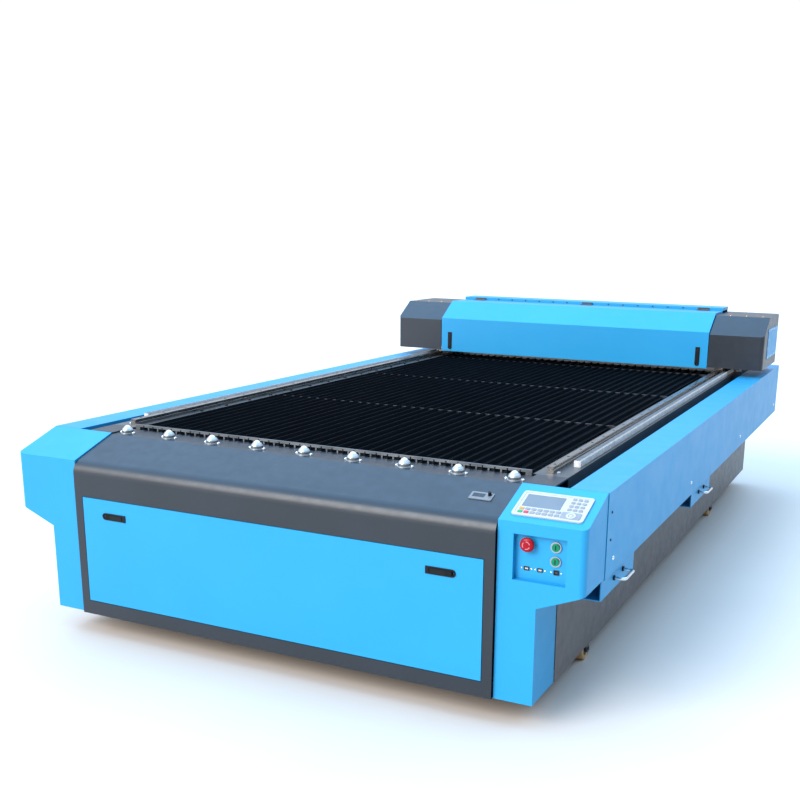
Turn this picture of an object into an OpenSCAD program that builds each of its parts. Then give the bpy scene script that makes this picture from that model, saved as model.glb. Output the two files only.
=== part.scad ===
// Flat-bed laser cutting machine, millimetres, +Z up, floor at Z = 0, operator at the -Y end.
// Welded steel cabinet on castors, inverted-T slat bed, moving gantry on racks, covered laser head.

/* [Cabinet] */
// Front face of the nose to the rear end of the side covers
machine_l = 3330; // [3200:10:3600]
// Width over the two skirts
cabinet_w = 1700; // [1690:2:1760]
// How far wings and side covers stand out past a skirt
flare_w = 130; // [120:1:150]
// Floor to the underside of the cabinet
ground_gap = 76; // [76:1:90]
// Underside of the cabinet to the flat deck strip
deck_h = 570; // [550:1:620]
// Sheet metal thickness of panels and covers
sheet_t = 2; // [1.5:0.1:2.4]
// Seam between neighbouring sheets
seam = 2; // [1.5:0.1:2.5]

/* [Front panel and door] */
// Width of the dark front panel
panel_w = 1464; // [1450:2:1480]
// Radius of the nose between the front face and the sloping deck
nose_r = 45; // [30:1:55]
// Depth from the front face to the end of the sloping deck
slope_d = 184; // [170:1:190]
// Fall of the deck over that depth
slope_drop = 66; // [50:1:75]
// Depth of the flat strip that carries the ball units
strip_d = 101; // [95:1:110]
// Door width
door_w = 1400; // [1300:2:1410]
// Door height
door_h = 350; // [320:1:370]
// Lower edge of the door above the underside of the cabinet
door_lift = 48; // [48:1:60]
// Depth of the folded edge round the door
door_fold = 18; // [15:1:20]
// Height of the latches below the top of the door
latch_drop = 53; // [40:1:80]
// Middle of each door latch from the middle of the door
door_latch_x = 574; // [450:1:600]

/* [Wings] */
// Setback of the wing fronts behind the nose
wing_setback = 11; // [8:1:14]
// Wing top above the deck slope
wing_rise = 4; // [3:0.5:5]
// Height at which the post starts to flare out
notch_h = 280; // [260:1:300]
// Height at which the flare reaches the outer face
flare_h = 332; // [320:1:345]
// Radius of the outer front corner
corner_r = 18; // [10:1:25]
// Width of the control recess
pocket_w = 148; // [144:1:156]
// Height of the control recess
pocket_h = 127; // [122:1:132]
// Depth of the control recess
pocket_d = 18; // [15:1:20]

/* [Controls] */
// Diameter of the stop button head
stop_d = 40; // [36:1:42]
// Travel of the stop button
stop_travel = 5; // [4:0.5:6]
// Diameter of the bright ring round a push button
ring_d = 30; // [28:1:32]
// Travel of a push button
push_travel = 3; // [2:0.5:4]
// Width of the keypad
keypad_w = 198; // [180:1:205]
// Depth of the keypad along the slope
keypad_d = 115; // [114:1:124]
// Width of the power meter plate
meter_w = 67; // [60:1:72]
// Diameter of the meter knob
knob_d = 11; // [9:1:13]

/* [Bed] */
// Width of the bed opening between the rail seats
bed_w = 1444; // [1430:2:1456]
// Length of the bed opening
bed_l = 2560; // [2500:5:2600]
// Number of slats
slat_n = 36; // [30:1:36]
// Pitch of the slats
slat_pitch = 39.2; // [38:0.1:39.4]
// Width of a slat foot
slat_foot = 33; // [28:1:36]
// Height of a slat
slat_h = 16; // [14:1:18]
// Thickness of slat web and foot
slat_t = 3; // [2:0.1:3.5]
// Clearance of a slat in its window
slat_clear = 0.6; // [0.4:0.1:1]
// Height of the front comb above the deck strip
comb_h = 17; // [17:1:24]
// Thickness of the notched bars
bar_t = 6; // [5:0.5:8]
// Distance from the front comb to the first cross bar
bar_first = 835; // [800:5:850]
// Pitch of the cross bars
bar_pitch = 785; // [760:5:795]

/* [Ball units] */
// Number of ball units
ball_n = 9; // [5:1:9]
// Pitch of the ball units
ball_pitch = 174; // [150:1:178]
// Diameter of a ball
ball_d = 25.4; // [24:0.2:26]
// Height of the ball tops above the deck strip
ball_top = 27; // [26:0.5:30]
// Diameter of a ball cup
cup_d = 37; // [36:0.5:40]
// Distance between the two ear screws of a ball unit
ear_pitch = 51; // [48:1:54]

/* [Rails and racks] */
// Middle of each rail from the middle of the machine
rail_x = 764; // [758:1:768]
// Width and height of a rail
rail_s = 20; // [18:1:21]
// Outer tips of the rack teeth from the middle of the machine
rack_tip_x = 817; // [815:0.5:819]
// Width of a rack
rack_w = 20; // [18:1:22]
// Module of rack and pinion
tooth_m = 2.5; // [2.5:0.5:3]
// Teeth of a pinion
pinion_n = 14; // [14:1:15]

/* [Gantry] */
// Front of the gantry behind the nose, as parked
gantry_y = 2717; // [2650:1:2760]
// Depth of the gantry
gantry_d = 443; // [430:1:450]
// Width of the hinged cover
cover_w = 1438; // [1436:1:1442]
// Underside of the cover above the deck strip
cover_lift = 36; // [34:1:40]
// Height of the upright face of the cover
face_h = 175; // [170:1:185]
// Height of the sloping part of the cover
chamfer_h = 84; // [80:1:90]
// Depth of the sloping part of the cover
chamfer_d = 132; // [110:1:140]
// Front face of the cover to its hinge line
hinge_d = 302; // [298:1:306]
// Middle of each cover latch from the middle of the cover
cover_latch_x = 670; // [640:1:680]
// Where the laser head is parked, from the middle
head_x = 560; // [300:1:600]
// Nozzle tip above the slats
nozzle_gap = 8; // [6:0.5:10]
// Diameter of the laser tube
tube_d = 80; // [60:1:84]

/* [Castors] */
// Diameter of a wheel
wheel_d = 75; // [70:1:75]
// Distance of a wheel axle behind its swivel pin
castor_trail = 28; // [24:1:30]
// Front swivel pin behind the nose
castor_front = 530; // [480:5:600]
// Rear swivel pin behind the nose
castor_rear = 2480; // [2400:5:2600]

/* [Side brackets] */
// Length of a bracket
bracket_l = 335; // [300:5:360]
// Front end of the first bracket behind the nose
bracket_front = 188; // [188:1:260]
// Front end of the second bracket behind the nose
bracket_rear = 1320; // [1250:5:1400]
// Distance between the legs of a handle
handle_span = 92; // [80:1:110]

/* [Services] */
// Outside diameter of an exhaust collar
duct_d = 152; // [120:1:160]

/* [Hidden] */
$fn = 48;
eps = 1;
weld_gap = 0.2;
run_gap = 0.06;
loose_gap = 0.3;

// Levels
deck_z = ground_gap + deck_h;
door_z0 = ground_gap + door_lift;
door_z1 = door_z0 + door_h;
seat_z = deck_z + 4;
slat_z = deck_z - 2;
slat_top = slat_z + slat_h;
bar_z0 = slat_z - 14;
bar_top = slat_z + slat_h - 6;
cover_z0 = deck_z + cover_lift;
cover_z1 = cover_z0 + face_h;
cover_z2 = cover_z1 + chamfer_h;
lid_z = cover_z2 + 15;
side_top_z = deck_z + 4;
side_z0 = ground_gap + flare_h - 5;

// Half widths and depths
skirt_x = cabinet_w / 2;
wing_x1 = skirt_x + flare_w;
wing_x0 = panel_w / 2 + seam;
side_x0 = skirt_x + 22;
seat_x0 = bed_w / 2;
seat_x1 = rack_tip_x + 11;
bed_y = slope_d + strip_d;
seat_y = bed_y + 15;
seat_end = machine_l - 90;
cabinet_end = machine_l - 50;
slope_a = atan(slope_drop / slope_d);
function deck_at(d) = deck_z - (slope_d - d) * tan(slope_a);
function fy(d) = d - machine_l / 2;

// Gantry positions
g0 = fy(gantry_y);
beam_y0 = g0 + 150;
beam_y1 = g0 + 230;
beam_z0 = cover_z0 + 60;
beam_z1 = beam_z0 + 120;
beam_x = cover_w / 2 + 16;
end_x0 = cover_w / 2 + 3;
end_x1 = wing_x1 + 2;
foot_z0 = seat_z + 36;
foot_z1 = foot_z0 + 12;
hinge_y = g0 + hinge_d;
hinge_z = cover_z2 + 3;
hinge_r = 4.5;
hinge_pin_r = 2.2;
hinge_l = 60;
hinge_xs = [-622, 0, 622];

// Rack and pinion
tooth_p = PI * tooth_m;
pitch_r = tooth_m * pinion_n / 2;
addendum = 0.8 * tooth_m;
dedendum = 1.05 * tooth_m;
rack_pitch_x = rack_tip_x - addendum;
pinion_x = rack_pitch_x + pitch_r;
pinion_y = g0 + 220;
pinion_shaft_r = 6;
backlash = 0.35;
rack_y0 = fy(440);
rack_y1 = fy(seat_end - 15);

// Cross drive
pulley_x = 684;
pulley_y = g0 + 190;
pulley_r = 12;
belt_t = 1.5;
belt_w = 10;
belt_gap = 0.25;
belt_z = beam_z1 + 2;

// Castors
castor_x = skirt_x - 38;
castor_top = ground_gap + 30;
axle_r = 5;
king_r = 7;
wheel_w = 32;

// Control panel, from the middle of the recess
pocket_x = wing_x1 - 127;
pocket_z = ground_gap + 416;
panel_y = fy(wing_setback + pocket_d);
stop_at = [-36.5, 36.5];
start_at = [39.5, 36.5];
laser_at = [39.5, -2.5];
socket_row = -33;
socket_xs = [-41, -3, 42];
socket_w = 16;
socket_hs = [11, 11, 14];
tongue_hs = [4.5, 4.5, 6];
button_r = 10.6;

// Latch sizes
latch_l = 92;
latch_w = 22;
latch_flange = 2.5;
latch_pocket_l = 70;
latch_pocket_w = 14.4;
latch_body_d = 14;
lever_w = 13.2;
lever_r = 4.5;
lever_pin_r = 1.8;

// Which node is drawn

// Helpers: prisms along one axis, boxes from corner to corner, mirrored pairs

module block(lo, hi) {
    translate(lo) cube(hi - lo);
}

module yz_prism(x0, x1) {
    translate([x0, 0, 0]) rotate([90, 0, 90]) linear_extrude(x1 - x0) children();
}

module xz_prism(y0, y1) {
    translate([0, y1, 0]) rotate([90, 0, 0]) linear_extrude(y1 - y0) children();
}

module xy_prism(z0, z1) {
    translate([0, 0, z0]) linear_extrude(z1 - z0) children();
}

module rod_x(r, x0, x1) {
    translate([x0, 0, 0]) rotate([0, 90, 0]) cylinder(r = r, h = x1 - x0);
}

module rod_y(r, y0, y1) {
    translate([0, y0, 0]) rotate([-90, 0, 0]) cylinder(r = r, h = y1 - y0);
}

module both_sides() {
    children();
    mirror([1, 0, 0]) children();
}

// Rectangular tube from corner to corner, open along one axis
module tube(lo, hi, wall, axis) {
    grow = [axis == 0 ? eps : -wall, axis == 1 ? eps : -wall, axis == 2 ? eps : -wall];
    difference() {
        block(lo, hi);
        block(lo - grow, hi + grow);
    }
}

module rounded_plate(w, d, r) {
    square([w - 2 * r, d], center = true);
    square([w, d - 2 * r], center = true);
    for (sx = [-1, 1], sy = [-1, 1])
        translate([sx * (w / 2 - r), sy * (d / 2 - r)]) circle(r);
}

// Welded frame

module frame_side() {
    tube([seat_x0, fy(seat_y), seat_z - 90], [seat_x1, fy(seat_end), seat_z], 5, 1);
    leg_x1 = seat_x1;
    for (d = [seat_y, machine_l / 2 - 40, seat_end - 80])
        tube([leg_x1 - 80, fy(d), castor_top + 50 + weld_gap],
            [leg_x1, fy(d + 80), seat_z - 90 - weld_gap], 4, 2);
    tube([castor_x - 30, fy(wing_setback + sheet_t + weld_gap), castor_top],
        [castor_x + 30, fy(cabinet_end - sheet_t - weld_gap), castor_top + 50], 4, 1);
    block([wing_x0, fy(slope_d + seam), seat_z - 5], [seat_x1, fy(seat_y) - weld_gap, seat_z]);
    for (d = [castor_front, castor_rear])
        translate([castor_x, fy(d), 0]) castor_pad();
}

module castor_pad() {
    block([-33, -47, castor_top - 5 - weld_gap], [33, 47, castor_top - weld_gap]);
    translate([0, 0, castor_top - 8]) cylinder(r = 20, h = 4);
    translate([0, 0, castor_top - 16]) cylinder(r = king_r, h = 12);
    translate([0, 0, castor_top - 16]) cylinder(r = king_r + 4, h = 3);
}

bar_ds = [bed_y + 3, bed_y + 3 + bar_first, bed_y + 3 + bar_first + bar_pitch,
    bed_y + 3 + bar_first + 2 * bar_pitch, bed_y + bed_l - 9];

cross_d = 22;
cross_w = 40;
cross_top = castor_top + 14;

module base_frame() {
    color([0.16, 0.17, 0.19]) {
        both_sides() frame_side();
        for (i = [0 : len(bar_ds) - 1]) {
            back = i == len(bar_ds) - 1 ? 44 : 0;
            tube([-seat_x0 + weld_gap, fy(bar_ds[i] + 12 - back), bar_z0 - 50],
                [seat_x0 - weld_gap, fy(bar_ds[i] + 52 - back), bar_z0], 4, 0);
        }
        for (d = [cross_d, machine_l / 2 - 20, cabinet_end - 44])
            tube([-castor_x + 30 + weld_gap, fy(d), ground_gap + sheet_t],
                [castor_x - 30 - weld_gap, fy(d + cross_w), cross_top], 4, 0);
    }
}

// Folded front panel: upright face, round nose, sloping deck, flat strip and rear lip

module front_profile() {
    nose_z = deck_at(nose_r) - nose_r / cos(slope_a);
    tip = [fy(nose_r - nose_r * sin(slope_a)), nose_z + nose_r * cos(slope_a)];
    drop = [sheet_t * sin(slope_a), -sheet_t * cos(slope_a)];
    kink = sheet_t * tan(slope_a / 2);
    translate([fy(0), ground_gap]) square([sheet_t, nose_z - ground_gap]);
    translate([fy(0), ground_gap]) square([44, sheet_t]);
    intersection() {
        difference() {
            translate([fy(nose_r), nose_z]) circle(nose_r);
            translate([fy(nose_r), nose_z]) circle(nose_r - sheet_t);
        }
        polygon([[fy(nose_r), nose_z], [fy(-eps), nose_z], [fy(-eps), nose_z + 2 * nose_r],
            [fy(nose_r) - 2 * nose_r * sin(slope_a), nose_z + 2 * nose_r * cos(slope_a)]]);
    }
    polygon([tip, [fy(slope_d), deck_z], [fy(slope_d) + kink, deck_z - sheet_t], tip + drop]);
    polygon([[fy(slope_d), deck_z], [fy(bed_y), deck_z], [fy(bed_y), deck_z - sheet_t],
        [fy(slope_d) + kink, deck_z - sheet_t]]);
    translate([fy(bed_y) - sheet_t, deck_z - 40]) square([sheet_t, 40]);
}

door_axis_y = fy(6);
door_axis_z = door_z0 + 10;
door_pin_r = 4;

module front_panel() {
    open_x = door_w / 2 + seam;
    color([0.2, 0.22, 0.26]) {
        difference() {
            yz_prism(-panel_w / 2, panel_w / 2) front_profile();
            block([-open_x, fy(-eps), door_z0 - seam], [open_x, fy(sheet_t + eps), door_z1 + seam]);
        }
        both_sides() {
            block([open_x, fy(sheet_t / 2), door_z0 - seam],
                [open_x + sheet_t, fy(20), door_z1 + seam + sheet_t]);
            translate([0, door_axis_y, door_axis_z])
                rod_x(door_pin_r, door_w / 2 - 12, open_x + sheet_t);
        }
        block([-open_x, fy(sheet_t / 2), door_z1 + seam],
            [open_x, fy(14), door_z1 + seam + sheet_t]);
    }
}

// Door tray, hinged on two pins at its lower corners

module front_door() {
    x = door_w / 2;
    color([0.2, 0.72, 0.97]) difference() {
        block([-x, fy(0), door_z0], [x, fy(door_fold), door_z1]);
        block([-x + sheet_t, fy(sheet_t), door_z0 + sheet_t],
            [x - sheet_t, fy(door_fold + eps), door_z1 - sheet_t]);
        translate([0, door_axis_y, door_axis_z]) {
            rod_x(door_pin_r + run_gap, -x - eps, -x + 14);
            rod_x(door_pin_r + run_gap, x - 14, x + eps);
        }
        both_sides() place_door_latch() latch_hole();
    }
}

// Flush latches. Local frame: length along X with the round end at -X, outward face at -Y

module latch_hole() {
    xz_prism(-eps, door_fold) square([latch_pocket_l + 8, latch_pocket_w + 3], center = true);
}

lever_pivot = latch_pocket_l / 2 - lever_r - 0.8;
lever_axis_w = 3.2 - latch_flange;

module latch_outline() {
    r = latch_w / 2;
    translate([-latch_l / 2 + r, 0]) circle(r);
    translate([-latch_l / 2 + r, -r]) square([latch_l - r, latch_w]);
}

module latch_housing() {
    difference() {
        union() {
            xz_prism(-latch_flange, 0) latch_outline();
            xz_prism(-latch_flange / 2, latch_body_d)
                square([latch_pocket_l + 7, latch_pocket_w + 2.4], center = true);
        }
        block([-latch_pocket_l / 2, -latch_flange - eps, -latch_pocket_w / 2],
            [latch_pocket_l / 2, latch_body_d - 2, latch_pocket_w / 2]);
        translate([-latch_pocket_l / 2 + 1, -latch_flange - 4, 0]) sphere(r = 8.5);
    }
    translate([lever_pivot, lever_axis_w, -latch_pocket_w / 2 - 0.4])
        cylinder(r = lever_pin_r, h = latch_pocket_w + 0.8);
}

module latch_lever() {
    front = lever_axis_w - lever_r;
    difference() {
        union() {
            translate([lever_pivot, lever_axis_w, -lever_w / 2]) cylinder(r = lever_r, h = lever_w);
            xy_prism(-lever_w / 2, lever_w / 2) polygon([[lever_pivot, front],
                [-latch_pocket_l / 2 + 3, front], [-latch_pocket_l / 2 + 0.8, front + 1.6],
                [-latch_pocket_l / 2 + 0.8, front + 5], [-latch_pocket_l / 2 + 8, front + 2 * lever_r],
                [lever_pivot, front + 2 * lever_r]]);
        }
        translate([lever_pivot, lever_axis_w, -lever_w / 2 - eps])
            cylinder(r = lever_pin_r + run_gap, h = lever_w + 2 * eps);
        for (i = [0 : 3])
            block([-latch_pocket_l / 2 + 6 + 4 * i, front - eps, -lever_w / 2 - eps],
                [-latch_pocket_l / 2 + 7.6 + 4 * i, front + 0.8, lever_w / 2 + eps]);
    }
}

module place_door_latch() {
    translate([-door_latch_x, fy(0), door_z1 - latch_drop]) children();
}

module place_cover_latch() {
    translate([-cover_latch_x, g0, cover_z0 + 56]) rotate([0, -90, 0]) children();
}

module door_latch_housings() {
    color([0.03, 0.03, 0.035]) both_sides() place_door_latch() latch_housing();
}

module door_latch_left() {
    color([0.05, 0.05, 0.055]) place_door_latch() latch_lever();
}

module door_latch_right() {
    color([0.05, 0.05, 0.055]) mirror([1, 0, 0]) place_door_latch() latch_lever();
}

module cover_latch_housings() {
    color([0.03, 0.03, 0.035]) both_sides() place_cover_latch() latch_housing();
}

module cover_latch_left() {
    color([0.05, 0.05, 0.055]) place_cover_latch() latch_lever();
}

module cover_latch_right() {
    color([0.05, 0.05, 0.055]) mirror([1, 0, 0]) place_cover_latch() latch_lever();
}

// Wings: sheet boxes with a sloping top, a flared underside and one round corner

module wing_solid(t) {
    flare_a = atan((flare_h - notch_h) / flare_w);
    lift = t / cos(flare_a) - t * tan(flare_a);
    z0 = t > 0 ? ground_gap - eps : ground_gap;
    y0 = fy(wing_setback) + t;
    y1 = fy(slope_d) + (t > 0 ? eps : 0);
    r = corner_r - t;
    x1 = wing_x1 - t;
    top = wing_rise - t / cos(slope_a);
    intersection() {
        xz_prism(y0 - eps, y1 + eps) polygon([[wing_x0 + t, z0], [skirt_x - seam - t, z0],
            [skirt_x - seam - t, ground_gap + notch_h + lift], [x1, ground_gap + flare_h + lift],
            [x1, seat_z + 40], [wing_x0 + t, seat_z + 40]]);
        xy_prism(z0 - eps, seat_z + 50) {
            translate([wing_x0 - eps, y0]) square([x1 - r - wing_x0 + eps, y1 - y0]);
            translate([wing_x0 - eps, y0 + r]) square([x1 - wing_x0 + eps, y1 - y0 - r]);
            translate([x1 - r, y0 + r]) circle(r);
        }
        yz_prism(wing_x0 - eps, x1 + eps) polygon([[y0 - eps, z0 - eps],
            [y0 - eps, top + deck_z + (y0 - eps - fy(slope_d)) * tan(slope_a)],
            [y1 + eps, top + deck_z + (y1 + eps - fy(slope_d)) * tan(slope_a)],
            [y1 + eps, z0 - eps]]);
    }
}

module wing_shell() {
    difference() {
        wing_solid(0);
        wing_solid(sheet_t);
        block([wing_x0 - eps, fy(cross_d - seam), ground_gap - eps],
            [wing_x0 + sheet_t + eps, fy(cross_d + cross_w + seam), cross_top + seam]);
    }
}

module left_wing() {
    color([0.2, 0.72, 0.97]) mirror([1, 0, 0]) wing_shell();
}

module pocket_box(t, y0) {
    block([pocket_x - pocket_w / 2 - t, y0, pocket_z - pocket_h / 2 - t],
        [pocket_x + pocket_w / 2 + t, panel_y + t, pocket_z + pocket_h / 2 + t]);
}

module place_control(at) {
    translate([pocket_x + at[0], panel_y, pocket_z + at[1]]) children();
}

module right_wing() {
    color([0.2, 0.72, 0.97]) difference() {
        union() {
            wing_shell();
            pocket_box(sheet_t, fy(wing_setback + sheet_t / 2));
        }
        pocket_box(0, fy(wing_setback - eps));
        place_control(stop_at) rod_y(11 + loose_gap, -eps, 10);
        place_control(start_at) rod_y(13 + loose_gap, -eps, 10);
        place_control(laser_at) rod_y(13 + loose_gap, -eps, 10);
        for (i = [0 : 2])
            place_control([socket_xs[i], socket_row])
                block([-socket_w / 2 - loose_gap, -eps, -socket_hs[i] / 2 - loose_gap],
                    [socket_w / 2 + loose_gap, 10, socket_hs[i] / 2 + loose_gap]);
    }
}

// Control panel fittings. Local frame: panel face at Y = 0, outward at -Y

ring_h = 4;
barrel_r = 13;
barrel_d = 24;

module button_ring() {
    difference() {
        union() {
            rod_y(ring_d / 2, -ring_h, 0);
            rod_y(barrel_r, -eps, barrel_d);
        }
        rod_y(button_r + loose_gap, -ring_h - eps, barrel_d - 4);
    }
}

module stop_collar() {
    difference() {
        union() {
            rod_y(15, -5, 0);
            rod_y(11, -eps, barrel_d + 6);
        }
        rod_y(7 + loose_gap, -5 - eps, barrel_d + 2);
    }
}

module panel_rings() {
    color([0.8, 0.82, 0.84]) {
        place_control(start_at) button_ring();
        place_control(laser_at) button_ring();
        place_control(stop_at) stop_collar();
    }
}

module push_button() {
    rod_y(button_r, -ring_h - 3.2, barrel_d - 4 - push_travel - 1);
}

module start_button() {
    color([0.05, 0.6, 0.25]) place_control(start_at) push_button();
}

module laser_button() {
    color([0.05, 0.6, 0.25]) place_control(laser_at) push_button();
}

module stop_head() {
    lift = 5 + stop_travel + 0.8;
    color([0.75, 0.05, 0.04]) place_control(stop_at) {
        translate([0, -lift, 0]) rotate([90, 0, 0]) rotate_extrude() polygon([[0, 0],
            [stop_d / 2 - 3, 0], [stop_d / 2 - 1, 1.2], [stop_d / 2, 4], [stop_d / 2 - 0.6, 7],
            [stop_d / 2 - 3, 10], [stop_d / 2 - 7, 11.8], [stop_d / 2 - 12, 12.6], [0, 12.8]]);
        rod_y(7, -lift - eps, barrel_d + 2 - stop_travel - 1);
    }
}

module plug_socket(h, tongue) {
    wall = 1.6;
    difference() {
        union() {
            block([-socket_w / 2, -1.2, -h / 2], [socket_w / 2, 16, h / 2]);
            block([-18, sheet_t + weld_gap, -h / 2], [18, sheet_t + 2, h / 2]);
        }
        block([-socket_w / 2 + wall, -2, -h / 2 + wall], [socket_w / 2 - wall, 5, h / 2 - wall]);
    }
    block([-4.5, -0.6, -tongue / 2], [4.5, 5 + eps, tongue / 2]);
}

module data_sockets() {
    color([0.1, 0.1, 0.11]) for (i = [0 : 2])
        place_control([socket_xs[i], socket_row]) plug_socket(socket_hs[i], tongue_hs[i]);
}

// Keypad and meter on the sloping surfaces. Local frame: surface at Z = 0, up the slope at +Y

module on_slope(x, d, rise) {
    translate([x, fy(d), deck_at(d) + rise]) rotate([slope_a, 0, 0]) children();
}

keypad_t = 4;
keypad_y = 92;
display_at = [-29.5, 14];
display_s = [108, 59];
nav_at = [61, -35];

module key_pad(at, s) {
    translate([at[0], at[1], keypad_t - eps]) linear_extrude(eps + 0.8) rounded_plate(s[0], s[1], 2);
}

module keypad_body() {
    color([0.86, 0.88, 0.9]) on_slope(wing_x1 - 123, keypad_y, wing_rise + weld_gap) {
        difference() {
            linear_extrude(keypad_t) rounded_plate(keypad_w, keypad_d, 9);
            translate([0, 0, keypad_t - 1]) linear_extrude(2)
                rounded_plate(keypad_w - 14, keypad_d - 14, 5);
            translate([display_at[0], display_at[1], keypad_t - 2.4]) linear_extrude(4)
                rounded_plate(display_s[0], display_s[1], 2);
        }
        for (i = [0 : 2], j = [0 : 3])
            key_pad([48 + 15.5 * i, 41 - 16.2 * j], [11, 9]);
        for (i = [0 : 6], j = [0 : 1])
            key_pad([-78 + 17 * i, -27 - 15 * j], [13, 9.5]);
        translate([nav_at[0], nav_at[1], keypad_t - eps]) {
            linear_extrude(eps + 0.4) rounded_plate(54, 30, 4);
            linear_extrude(eps + 1) difference() {
                circle(13);
                circle(7.5);
            }
            linear_extrude(eps + 1) circle(5);
        }
    }
}

module keypad_display() {
    color([0.35, 0.42, 0.55]) on_slope(wing_x1 - 123, keypad_y, wing_rise + weld_gap)
        translate([display_at[0], display_at[1], keypad_t - 2.4]) linear_extrude(1)
            rounded_plate(display_s[0] - 1, display_s[1] - 1, 1.5);
}

meter_knob_at = [22, 7];
meter_t = 2.5;

module power_meter() {
    color([0.72, 0.74, 0.77]) on_slope(panel_w / 2 - 86, 105, 0) {
        difference() {
            linear_extrude(meter_t) rounded_plate(meter_w, 35, 3);
            translate([-9, 2, meter_t - 0.8]) linear_extrude(2) rounded_plate(36, 18, 1);
        }
        translate([meter_knob_at[0], meter_knob_at[1], meter_t - eps]) cylinder(r = 2, h = 8);
    }
}

module meter_knob() {
    color([0.03, 0.03, 0.03]) on_slope(panel_w / 2 - 86, 105, 0)
        translate([meter_knob_at[0], meter_knob_at[1], meter_t + loose_gap]) difference() {
            union() {
                cylinder(r = knob_d / 2, h = 2);
                cylinder(r = knob_d / 2 - 1, h = 10);
            }
            translate([0, 0, -eps]) cylinder(r = 2 + run_gap, h = 9);
            translate([0, knob_d / 2 - 1.4, 9.2]) cube([0.8, 2, 2], center = true);
        }
}

// Long sheet covers and skirts

module side_cover() {
    x0 = side_x0;
    x1 = wing_x1 + 2;
    t = sheet_t;
    xz_prism(fy(slope_d + seam), fy(machine_l)) polygon([[x0, side_top_z], [x1, side_top_z],
        [x1, side_z0], [skirt_x + weld_gap, side_z0], [skirt_x + weld_gap, side_z0 + t],
        [x1 - t, side_z0 + t], [x1 - t, side_top_z - t], [x0 + t, side_top_z - t],
        [x0 + t, side_top_z - 90], [x0, side_top_z - 90]]);
    block([x0, fy(machine_l) - t, side_z0], [x1, fy(machine_l), side_top_z]);
}

module side_covers() {
    color([0.2, 0.72, 0.97]) both_sides() side_cover();
}

module side_skirts() {
    top = seat_z - 70;
    color([0.24, 0.24, 0.26]) both_sides() {
        block([skirt_x - sheet_t, fy(slope_d + seam), ground_gap], [skirt_x, fy(cabinet_end), top]);
        block([seat_x1 + weld_gap, fy(seat_y), top - sheet_t], [skirt_x, fy(cabinet_end - 50), top]);
    }
}

module rear_panel() {
    x = skirt_x - sheet_t - weld_gap;
    duct_y0 = fy(cabinet_end) - sheet_t;
    duct_xs = [-350, 350];
    duct_z = ground_gap + 260;
    duct_l = 46;
    color([0.24, 0.24, 0.26]) difference() {
        union() {
            block([-x, duct_y0, ground_gap], [x, fy(cabinet_end), deck_z]);
            block([-seat_x0 + seam, fy(bed_y + bed_l + seam), deck_z - sheet_t],
                [seat_x0 - seam, fy(cabinet_end), deck_z]);
            for (dx = duct_xs)
                translate([dx, 0, duct_z]) rod_y(duct_d / 2, duct_y0, fy(cabinet_end) + duct_l);
        }
        for (dx = duct_xs)
            translate([dx, 0, duct_z])
                rod_y(duct_d / 2 - sheet_t, duct_y0 - eps, fy(cabinet_end) + duct_l + eps);
    }
}

// Folded brackets under the side covers, with a bent handle on each

bracket_x = wing_x1 - 8;
bracket_z0 = side_z0 - 64;

module bracket(d) {
    t = 3;
    xz_prism(fy(d), fy(d + bracket_l)) polygon([[skirt_x + weld_gap, bracket_z0],
        [bracket_x, bracket_z0], [bracket_x, side_z0 - weld_gap], [bracket_x - 28, side_z0 - weld_gap],
        [bracket_x - 28, side_z0 - weld_gap - t], [bracket_x - t, side_z0 - weld_gap - t],
        [bracket_x - t, bracket_z0 + t], [skirt_x + weld_gap + t, bracket_z0 + t],
        [skirt_x + weld_gap + t, side_z0 - 10], [skirt_x + weld_gap, side_z0 - 10]]);
}

module side_brackets() {
    color([0.2, 0.66, 0.92]) both_sides() {
        bracket(bracket_front);
        bracket(bracket_rear);
    }
}

module handle(d) {
    r = 4.5;
    bend = 12;
    reach = 34;
    translate([bracket_x + weld_gap, fy(d + bracket_l / 2), bracket_z0 + 34]) {
        for (s = [-1, 1])
            translate([0, s * handle_span / 2, 0]) {
                rod_x(r, 0, reach - bend);
                rod_x(r + 3, 0, 5);
            }
        translate([reach, 0, 0]) rod_y(r, -handle_span / 2 + bend, handle_span / 2 - bend);
        for (s = [-1, 1])
            translate([reach - bend, s * (handle_span / 2 - bend), 0])
                rotate([0, 0, s > 0 ? 0 : -90]) rotate_extrude(angle = 90)
                    translate([bend, 0]) circle(r);
    }
}

module grab_handles() {
    color([0.85, 0.86, 0.88]) both_sides() {
        handle(bracket_front);
        handle(bracket_rear);
    }
}

// Waste pan under the bed, open to the front door, and the electrics behind it

pan_x = seat_x0 - weld_gap;
pan_z = castor_top + 14;

module pan_outline(t) {
    d1 = bed_y + bed_l;
    top = seat_z - 80;
    polygon([[fy(30 - t), pan_z + t], [fy(700), pan_z + t], [fy(d1 - t), pan_z + 340 + t],
        [fy(d1 - t), top + t], [fy(30 - t), top + t]]);
}

module waste_pan() {
    color([0.3, 0.31, 0.33]) difference() {
        yz_prism(-pan_x, pan_x) pan_outline(0);
        yz_prism(-pan_x + sheet_t, pan_x - sheet_t) pan_outline(sheet_t);
    }
}

module electrics() {
    z = pan_z + 3;
    up = z + weld_gap;
    color([0.55, 0.56, 0.58]) {
        block([-500, fy(machine_l / 2 - 40), pan_z], [500, fy(cabinet_end - 10), z]);
        block([-420, fy(2330), up], [-90, fy(2560), up + 170]);
        block([-40, fy(2360), up], [175, fy(2475), up + 50]);
        for (i = [0 : 2])
            block([230 + 60 * i, fy(2340), up], [275 + 60 * i, fy(2490), up + 97]);
        block([-40, fy(2560), up], [140, fy(2700), up + 40]);
    }
}

// Rails with side grooves and counterbored holes, and racks with outward teeth

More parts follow.
